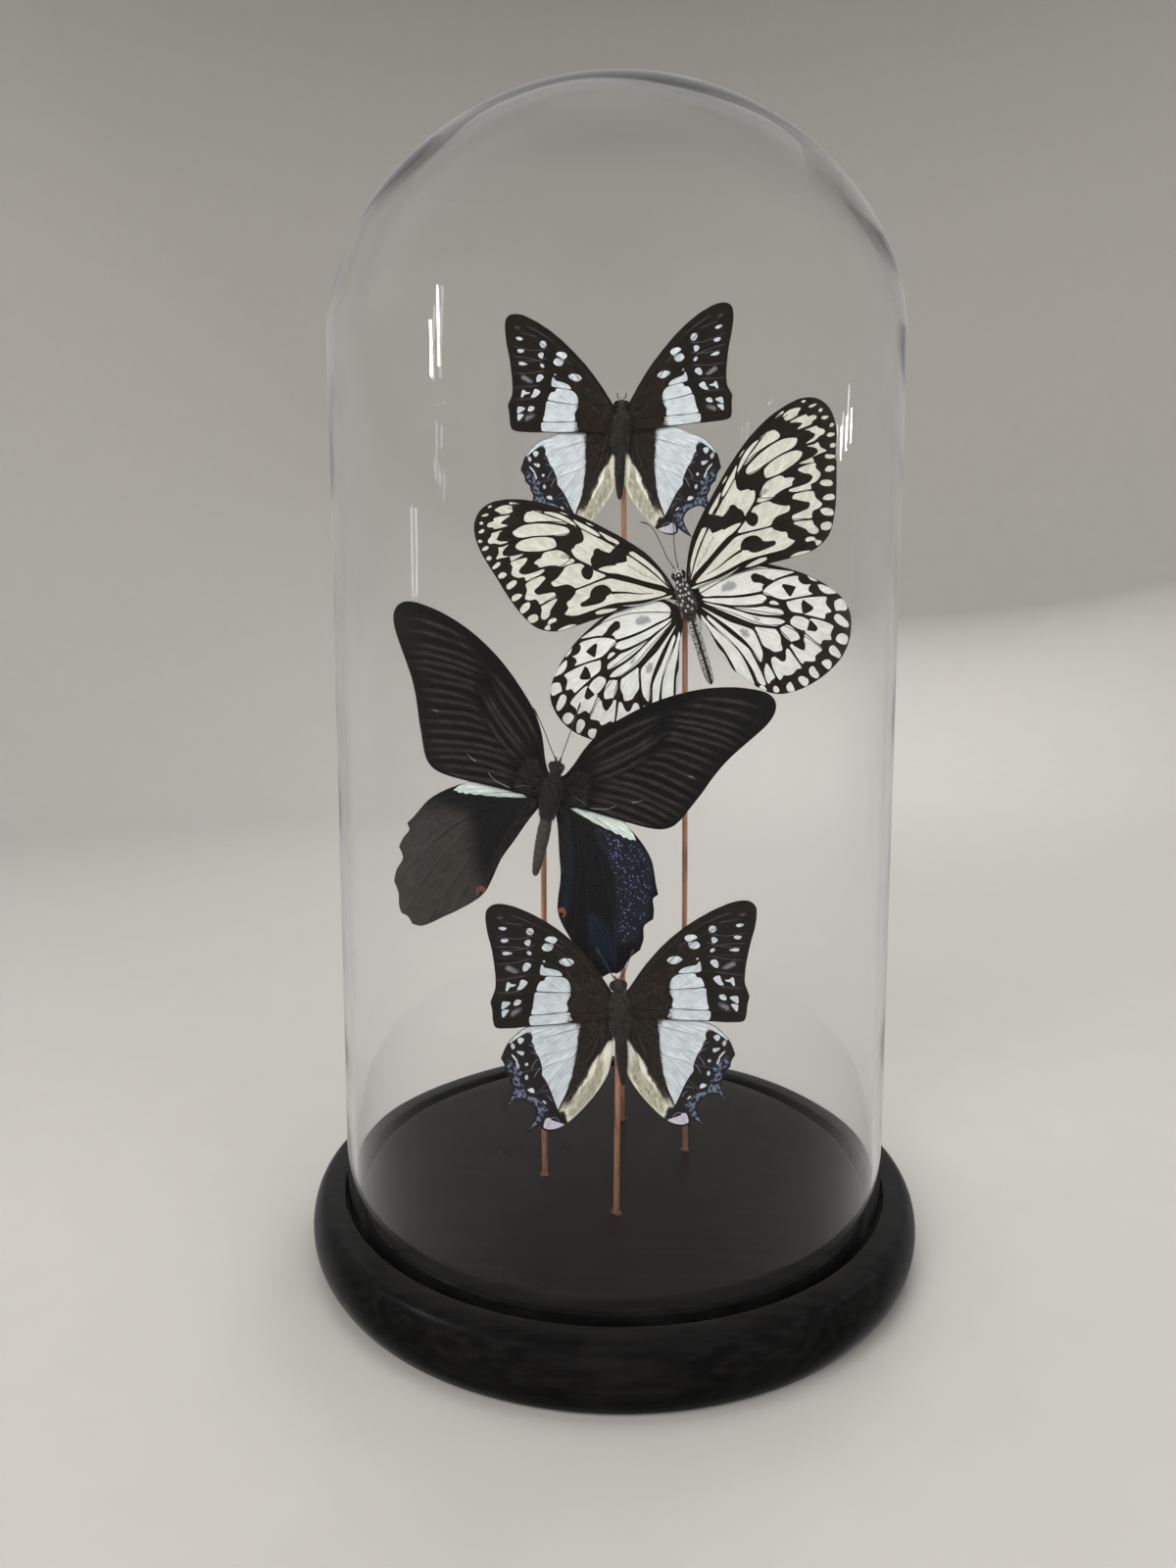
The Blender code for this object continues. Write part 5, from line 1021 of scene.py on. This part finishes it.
def wing_hair(name, b, which, shape, count, length, mat, aim, seed):
    """Fine hairs lying on the upper side of both wings, combed away from the point aim."""
    rng = np.random.default_rng(seed)
    net = NETS[(b["kind"], which)]
    poly = closed_curve(shape, 4, 0.9)
    lo, hi = poly.min(0), poly.max(0)
    pts = rng.uniform(lo, hi, (count * 6, 2))
    pts = pts[inside(poly, pts) & inside(net["out"], pts)][:count]
    d = pts - np.array(aim)
    d /= np.linalg.norm(d, axis=1)[:, None]
    turn = rng.normal(0, 0.16, len(pts))
    d = np.stack([d[:, 0] * np.cos(turn) - d[:, 1] * np.sin(turn), d[:, 0] * np.sin(turn) + d[:, 1] * np.cos(turn)], 1)
    ln = length * rng.uniform(0.5, 1.2, len(pts))
    tip = pts + d * ln[:, None]
    keep = inside(net["out"], tip)
    pts, d, ln, tip = pts[keep], d[keep], ln[keep], tip[keep]

    def height(q):
        z = np.zeros(len(q))
        for k in range(0, len(q), 200):
            near = ((q[k:k + 200, None] - net["P"][None]) ** 2).sum(2).argmin(1)
            z[k:k + 200] = net["z"][near]
        return z + WING_T / 2

    mid = pts + d * ln[:, None] * 0.5
    w = rng.uniform(0.04, 0.075, len(pts))[:, None]
    side = np.stack([-d[:, 1], d[:, 0]], 1) * w
    z0, z1, z2 = height(pts) - 0.03, height(mid) + rng.uniform(0.06, 0.2, len(pts)), height(tip) + rng.uniform(0.02, 0.16, len(pts))
    rows = [np.column_stack([pts - side, z0]), np.column_stack([pts + side, z0]), np.column_stack([pts, z0 + w[:, 0] * 1.4]),
            np.column_stack([mid - side * 0.8, z1]), np.column_stack([mid + side * 0.8, z1]), np.column_stack([mid, z1 + w[:, 0] * 1.2]),
            np.column_stack([tip, z2])]
    one = np.stack(rows, 1).reshape(-1, 3)
    n = len(pts)
    base = (np.arange(n) * 7)[:, None, None]
    q = (np.array([[0, 1, 4, 3], [1, 2, 5, 4], [2, 0, 3, 5]])[None] + base).reshape(-1, 4)
    t = (np.array([[3, 4, 6], [4, 5, 6], [5, 3, 6]])[None] + base).reshape(-1, 3)
    co, faces = [], []
    for k, sd in enumerate((1, -1)):
        v = one * np.array([sd * b["size"], b["size"], 1.0])
        co.append(apply(wing_matrix(b, which, sd), v * MM))
        faces += ((q if sd > 0 else q[:, ::-1]) + k * 7 * n).tolist() + ((t if sd > 0 else t[:, ::-1]) + k * 7 * n).tolist()
    ob = make_mesh(name, np.vstack(co), faces, mat)
    set_attr(ob.data, "tag", np.tile(np.repeat(rng.random(n), 7), 2))
    set_attr(ob.data, "tip", np.tile([0, 0, 0, 0.5, 0.5, 0.5, 1.0], 2 * n))
    return ob


WING_HAIR = {
    "nawab": [("hind", NH_BROWN[0], 1500, 2.6, brown_hair, (-6, 12)), ("fore", [(0.5, 5), (5, 11), (10, 13), (13.2, 9), (13.6, 2), (13.2, -2.8), (1, -2.4)], 900, 1.9, brown_hair, (-6, 2)),
              ("hind", [(10.2, -14), (12.2, -22), (14.4, -29), (12.4, -29.4), (9, -24), (6.4, -19)], 500, 3.2, brown_hair, (-4, 16)),
              ("hind", [(2, -15), (5, -20), (9, -26), (12, -30), (12.4, -35), (8, -32), (3.6, -27), (1.6, -21)], 480, 3.2, cream_hair, (-6, 14))],
    "swallowtail": [("hind", [(0.8, -4), (4, -5), (9, -20), (11, -32), (10, -34), (6, -22), (2.4, -12)], 620, 2.4, black_hair, (-8, 14)),
                    ("fore", [(0.5, 4.4), (4, 9), (8, 8), (9, 0), (6, -3), (0.6, -2.4)], 420, 2.2, black_hair, (-6, 1))],
}
FUR_SPEC = {"nawab": [(2200, 1.35, (4.4, 20.5), False), (420, 0.8, (19.0, 36.0), False), (60, 0.7, (1.2, 4.4), False), (340, 1.9, (6.4, 20.0), True)],
            "kite": [(420, 0.8, (4.4, 18.5), False), (260, 0.5, (18.0, 43.0), False), (40, 0.6, (1.2, 4.4), False), (120, 1.3, (6.0, 16.0), True)],
            "swallowtail": [(1700, 1.15, (4.6, 21.0), False), (450, 0.9, (20.0, 41.0), False), (70, 0.8, (1.2, 4.8), False), (260, 1.7, (6.4, 20.0), True)]}
for i, (name, b) in enumerate(INSECTS.items()):
    kind = b["kind"]
    for which in ("fore", "hind"):
        ready(wings("%s_%swings" % (name, which), b, which, MATS[(kind, which)]), kind + "_wing",
              "%s_%swing_r" % (name, which), "%s_%swing_l" % (name, which))
    ready(body_mesh(name + "_trunk", b, BODY_MATS[kind]), kind + "_body", name + "_body")
    for j, (count, length, where, flank) in enumerate(FUR_SPEC[kind]):
        ready(fur("%s_hair_%d" % (name, j + 1), b, FUR_MATS[kind], count, 50 + 7 * i + j, length, where, flank), kind + "_body")
    for j, (which, shape, count, length, mat, aim) in enumerate(WING_HAIR.get(kind, [])):
        ready(wing_hair("%s_%swing_hair_%d" % (name, which, j + 1), b, which, shape, count, length, mat, aim, 90 + 5 * i + j), kind + "_wing")
    ready(limbs(name + "_legs", b), kind + "_body")
    ready(feelers(name + "_antennae", b), kind + "_body", name + "_antenna_r", name + "_antenna_l")


# ------------------------------------------------------------------ turned parts
def lathe(name, profile, steps, mat, wobble=None, sharp=35):
    """Closed or capped turning of (r, z) in mm; r 0 at an end closes it there."""
    p = np.array(profile, float)
    a = np.linspace(0, math.tau, steps, endpoint=False)
    co, rows = [], []
    for r, z in p:
        if r < 1e-6:
            rows.append([len(co)])
            co.append((0.0, 0.0, z * MM))
            continue
        rows.append(list(range(len(co), len(co) + steps)))
        rr = np.full(steps, r) if wobble is None else r + wobble(a, r, z)
        co.extend(zip(rr * np.cos(a) * MM, rr * np.sin(a) * MM, np.full(steps, z * MM)))
    faces = []
    for q, w in zip(rows[:-1], rows[1:]):
        for i in range(steps):
            j = (i + 1) % steps
            if len(q) == 1:
                faces.append((q[0], w[i], w[j]))
            elif len(w) == 1:
                faces.append((q[i], w[0], q[j]))
            else:
                faces.append((q[i], w[i], w[j], q[j]))
    return make_mesh(name, [tuple(map(float, c)) for c in co], faces, mat, sharp)


def arc(c, r, a0, a1, n):
    return [(c[0] + r * math.cos(math.radians(t)), c[1] + r * math.sin(math.radians(t))) for t in np.linspace(a0, a1, n)]


lac = Nodes("satin_black_lacquer")
pos = lac.position()
grain = lac.noise(lac.scaled(pos, (26.0, 420.0, 420.0)), 1.0, 3.0, 0.5)
haze = lac.noise(pos, 22.0, 4.0, 0.55)
dust = lac.band(lac.noise(pos, 60.0, 3.0, 0.5), 0.45, 0.75)
smear = lac.noise(lac.scaled(pos, (30.0, 9.0, 30.0)), 1.0, 2.0, 0.5)
col = lac.mix(lac.band(grain, 0.35, 0.7), (0.0045, 0.0044, 0.0044), (0.0090, 0.0087, 0.0086))
col = lac.mix(lac.math("MULTIPLY", dust, 0.02), col, (0.16, 0.155, 0.15))
lac.set(Base_Color=col, Roughness=lac.math("ADD", lac.band(haze, 0.3, 0.7, 0.27, 0.36), lac.band(smear, 0.5, 0.75, 0.0, 0.08)))
lac.bsdf.inputs["Specular IOR Level"].default_value = 0.13
lac.bump(lac.math("ADD", lac.math("MULTIPLY", grain, 0.5), lac.math("MULTIPLY", haze, 0.4)), 0.07, 0.0002)

H = BASE_H
base_profile = [(0, H)] + [(r, H) for r in np.linspace(6, PLATE_R - 1.2, 16)] + arc((PLATE_R - 1.2, H - 1.2), 1.2, 90, 0, 7)[1:]
base_profile += [(PLATE_R, H - GROOVE_D + 0.3), (PLATE_R + 0.3, H - GROOVE_D), (GROOVE_R - 0.3, H - GROOVE_D), (GROOVE_R, H - GROOVE_D + 0.3), (GROOVE_R, H - 0.9)]
base_profile += arc((GROOVE_R + 0.9, H - 0.9), 0.9, 180, 90, 6)[1:]
base_profile += [(104.5, H), (107.6, H)]
side_curve = [(107.6, H), (108.9, H - 0.45), (110.1, H - 1.7), (111.3, H - 4.0), (112.2, H - 7.2), (BASE_R, H - 10.6), (112.2, H - 14.0), (111.2, H - 17.4), (109.6, H - 20.4), (108.6, 0.5), (FOOT_R, 0.0)]
base_profile += [tuple(p) for p in open_curve(side_curve, 0.9)][1:]
base_profile += [(FOOT_R - 6, 0.0), (FOOT_R - 6.6, 0.5), (60, 0.5), (0, 0.5)]
ready(lathe("turned_base", base_profile, 256, lac.mat), "lacquered_wood", "base")

glass = Nodes("blown_clear_glass")
glass.bsdf.inputs["Base Color"].default_value = (1.0, 1.0, 1.0, 1.0)
glass.bsdf.inputs["Transmission Weight"].default_value = 1.0
glass.bsdf.inputs["IOR"].default_value = 1.48
glass.bsdf.inputs["Roughness"].default_value = 0.0
glass.bsdf.inputs["Specular Tint"].default_value = (0.2, 0.2, 0.2, 1.0)
absorb = glass.t.nodes.new("ShaderNodeVolumeAbsorption")
absorb.inputs["Color"].default_value = (0.62, 0.86, 0.80, 1.0)
absorb.inputs["Density"].default_value = 7.0
glass.link(absorb.outputs[0], glass.out.inputs["Volume"])


def cap(radius, height, count):
    out = []
    for k in range(count + 1):
        f = math.radians(90.0 * (1.0 - k / count))
        r = radius * max(math.cos(f), 0.0) ** (2.0 / CAP_P)
        z = SHOULDER + height * max(math.sin(f), 0.0) ** (2.0 / CAP_P)
        out.append((0.0 if k == 0 else r, z))
    return out


def ripple(a, r, z):
    """Slow ripples of blown glass on the inner skin, stronger towards the crown."""
    amp = 0.05 + 0.22 * np.clip((z - 250.0) / 110.0, 0, 1)
    amp *= np.clip(r / 20.0, 0, 1)
    return amp * (np.sin(3 * a + z * 0.05) * 0.5 + np.sin(5 * a - z * 0.11 + 1.3) * 0.35 + np.sin(2 * a + z * 0.21 + 2.0) * 0.35 + 0.25 * np.sin(9 * a + z * 0.16))


rim = H - GROOVE_D + 0.3
wall_z = list(np.linspace(SHOULDER, rim + 1.6, 70))[1:]
outer = cap(DOME_R, CAP_H, 72) + [(DOME_R, z) for z in wall_z]
lip = arc((DOME_R - 1.5, rim + 1.5), 1.5, 0, -180, 12)
inner = [(DOME_R - WALL, z) for z in wall_z][::-1] + cap(DOME_R - WALL, CAP_H - WALL, 72)[::-1]
inner_set = {(round(r, 4), round(z, 4)) for r, z in inner}


def dome_wobble(a, r, z):
    return ripple(a, r, z) if (round(r, 4), round(z, 4)) in inner_set else np.zeros_like(a)


cloche = ready(lathe("glass_cloche", outer + lip[1:-1] + inner, 240, glass.mat, dome_wobble, 60), "clear_glass", "glass_dome")
cloche.visible_shadow = False

# ------------------------------------------------------------------ copper rods and turnings
cu = Nodes("drawn_copper")
pos = cu.position()
drawn = cu.noise(cu.scaled(pos, (2600.0, 2600.0, 40.0)), 1.0, 3.0, 0.6)
patch = cu.noise(cu.scaled(pos, (260.0, 260.0, 60.0)), 1.0, 4.0, 0.65)
tarn = cu.band(patch, 0.42, 0.68)
col = cu.mix(tarn, (0.56, 0.27, 0.17), (0.25, 0.115, 0.070))
col = cu.mix(cu.math("MULTIPLY", drawn, 0.3), col, (0.72, 0.42, 0.30))
cu.set(Base_Color=col, Roughness=cu.band(cu.math("ADD", drawn, patch), 0.7, 1.3, 0.26, 0.46))
cu.bsdf.inputs["Metallic"].default_value = 0.68
cu.bump(drawn, 0.25, 0.00004)

glue = Nodes("clear_glue")
g = glue.noise(glue.position(), 700.0, 3.0)
glue.set(Base_Color=glue.mix(g, (0.75, 0.62, 0.40), (0.86, 0.78, 0.60)), Roughness=glue.band(g, 0.3, 0.7, 0.12, 0.3))
glue.bsdf.inputs["IOR"].default_value = 1.46

rng = np.random.default_rng(5)
shavings = Heap()
beads = Heap()
for k, (name, (foot, top, top_z)) in enumerate(RODS.items()):
    low, high = np.array([*foot, BASE_H - 0.5]), np.array([*top, top_z])
    d = (high - low) / np.linalg.norm(high - low)
    t = np.linspace(0, 1, 40)
    line = low + (high - low) * t[:, None]
    bow = np.sin(t * math.pi)[:, None] * np.array([[0.12 * math.cos(k * 2.0), 0.12 * math.sin(k * 2.0), 0]])
    line = line + bow
    rad = (ROD_R - 0.15) * (1 + 0.012 * np.sin(t * 37 + k))
    line = np.vstack([line, high + d * 0.25, high + d * 0.35])
    rad = np.concatenate([rad, [ROD_R * 0.75, ROD_R * 0.3]])
    v, f = tube(line, rad, 24)
    h = Heap()
    h.add(v, f)
    ready(h.build(name + "_copper", Matrix.Identity(4), cu.mat, 50), "copper", name)
    # curls of copper swarf and filings lying round the foot
    for j in range(15 if k < 3 else 9):
        a0, rad0 = rng.uniform(0, math.tau), rng.uniform(0.9, 1.7)
        c = np.array([foot[0] + rad0 * math.cos(a0), foot[1] + rad0 * math.sin(a0), BASE_H + 0.28])
        turns, rr = rng.uniform(0.35, 1.6), rng.uniform(0.18, 0.42)
        q = np.linspace(0, turns * math.tau, 16) + rng.uniform(0, math.tau)
        tilt = rng.uniform(0.0, 0.35)
        lift = np.linspace(0, rng.uniform(0.2, 0.7), 16)
        curl = np.stack([c[0] + rr * np.cos(q) + lift * math.cos(a0), c[1] + rr * np.sin(q) + lift * math.sin(a0), c[2] + tilt * (1 + np.sin(q)) * rr + lift * 0.25], 1)
        v, f = tube(curl, np.interp(np.linspace(0, 1, 16), [0, 0.2, 0.8, 1], [0.03, 0.075, 0.07, 0.02]), 5)
        shavings.add(v, f)
    # bead of glue that holds the thorax on the rod's end
    insect = list(INSECTS.values())[[0, 1, 2, 3][k]]
    at = np.array(insect["at"])
    mid = np.array([0.5 * (at[0] + top[0]), 0.5 * (at[1] + 2.4 + top[1]), top_z - 1.0])
    v, f = ball(mid, (1.7, 2.0, 1.9), 24, 16)
    v = v + 0.12 * np.sin(v * 2.3 + k)[:, ::-1]
    beads.add(v, f)
ready(shavings.build("copper_turnings", Matrix.Identity(4), cu.mat, 50), "copper")
ready(beads.build("glue_beads", Matrix.Identity(4), glue.mat, 60), "copper")

# ------------------------------------------------------------------ stage, light, camera
back = Nodes("pale_paper")
pos = back.position()
n = back.noise(pos, 40.0, 4.0, 0.6)
back.set(Base_Color=back.mix(n, (0.47, 0.455, 0.43), (0.50, 0.485, 0.46)), Roughness=0.9)
back.bump(back.noise(pos, 300.0, 3.0), 0.1, 0.0005)
sweep = [(0.0, 0.0)] + [(r, 0.0) for r in (150, 400, 900)] + arc((1200, 900), 900, -90, 0, 24) + [(2100, 2600)]
bowl = lathe("studio_sweep", sweep[::-1], 96, back.mat, sharp=80)
bowl.location.z = -0.0004
bowl.visible_glossy = False


def area(name, loc, target, size, power, colour=(1, 1, 1), mirrored=False):
    li = bpy.data.lights.new(name, "AREA")
    li.shape = "RECTANGLE"
    li.size, li.size_y = size
    li.energy = power
    li.color = colour
    ob = bpy.data.objects.new(name, li)
    coll.objects.link(ob)
    ob.location = loc
    ob.rotation_euler = (Vector(target) - Vector(loc)).to_track_quat("-Z", "Y").to_euler()
    ob.visible_glossy = ob.visible_transmission = mirrored
    return ob


# broad soft boxes do the lighting; two slim windows make the streaks in the glass
area("key_soft", (-0.75, -1.45, 1.25), (0, 0, 0.2), (1.3, 1.3), 30.0, (1.0, 0.985, 0.96))
area("fill_soft", (1.15, -1.1, 0.75), (0, 0, 0.2), (1.0, 1.2), 9.0, (0.97, 0.98, 1.0))
area("top_soft", (0.0, 0.1, 2.0), (0, 0, 0.1), (1.4, 1.4), 18.0)
area("back_soft", (0.5, 1.5, 1.0), (0, 0, 0.2), (1.0, 1.0), 12.0)
for k in range(2):
    area("left_window_%d" % (k + 1), (-1.48, -0.68 + 0.10 * k, 0.83 - 0.05 * k), (0, 0, 0.29), (0.035, 0.13 - 0.04 * k), 1.0, mirrored=True)
area("left_window_low", (-1.6, -0.30, 0.44), (0, 0, 0.27), (0.035, 0.16), 0.18, mirrored=True)
for k in range(3):
    area("right_window_%d" % (k + 1), (1.5, 0.0 + 0.075 * k, 0.60 + 0.015 * k), (0, 0, 0.27), (0.022, 0.055), 0.16, mirrored=True)
world = bpy.data.worlds.new("soft_room")
world.use_nodes = True
wt = world.node_tree
coord = wt.nodes.new("ShaderNodeTexCoord")
split = wt.nodes.new("ShaderNodeSeparateXYZ")
ramp = wt.nodes.new("ShaderNodeMapRange")
ramp.interpolation_type = "SMOOTHSTEP"
wt.links.new(coord.outputs["Generated"], split.inputs[0])
wt.links.new(split.outputs["Y"], ramp.inputs["Value"])
ramp.inputs["From Min"].default_value = -0.10
ramp.inputs["From Max"].default_value = 0.85
ramp.inputs["To Min"].default_value = 0.03
ramp.inputs["To Max"].default_value = 0.46
wt.links.new(ramp.outputs["Result"], wt.nodes["Background"].inputs["Strength"])
wt.nodes["Background"].inputs["Color"].default_value = (0.97, 0.96, 0.95, 1.0)
scene.world = world
scene.view_settings.view_transform = "Standard"

cam = bpy.data.cameras.new("view")
cam.sensor_fit = "AUTO"
cam.sensor_width = 36.0
cam.lens = 22.705
cam.clip_start, cam.clip_end = 0.01, 20.0
cam_ob = bpy.data.objects.new("view", cam)
coll.objects.link(cam_ob)
cam_ob.location = (0.0, -0.3687, 0.20685)
cam_ob.rotation_euler = (math.radians(90.0 - 5.91), 0.0, math.radians(1.476))
scene.camera = cam_ob
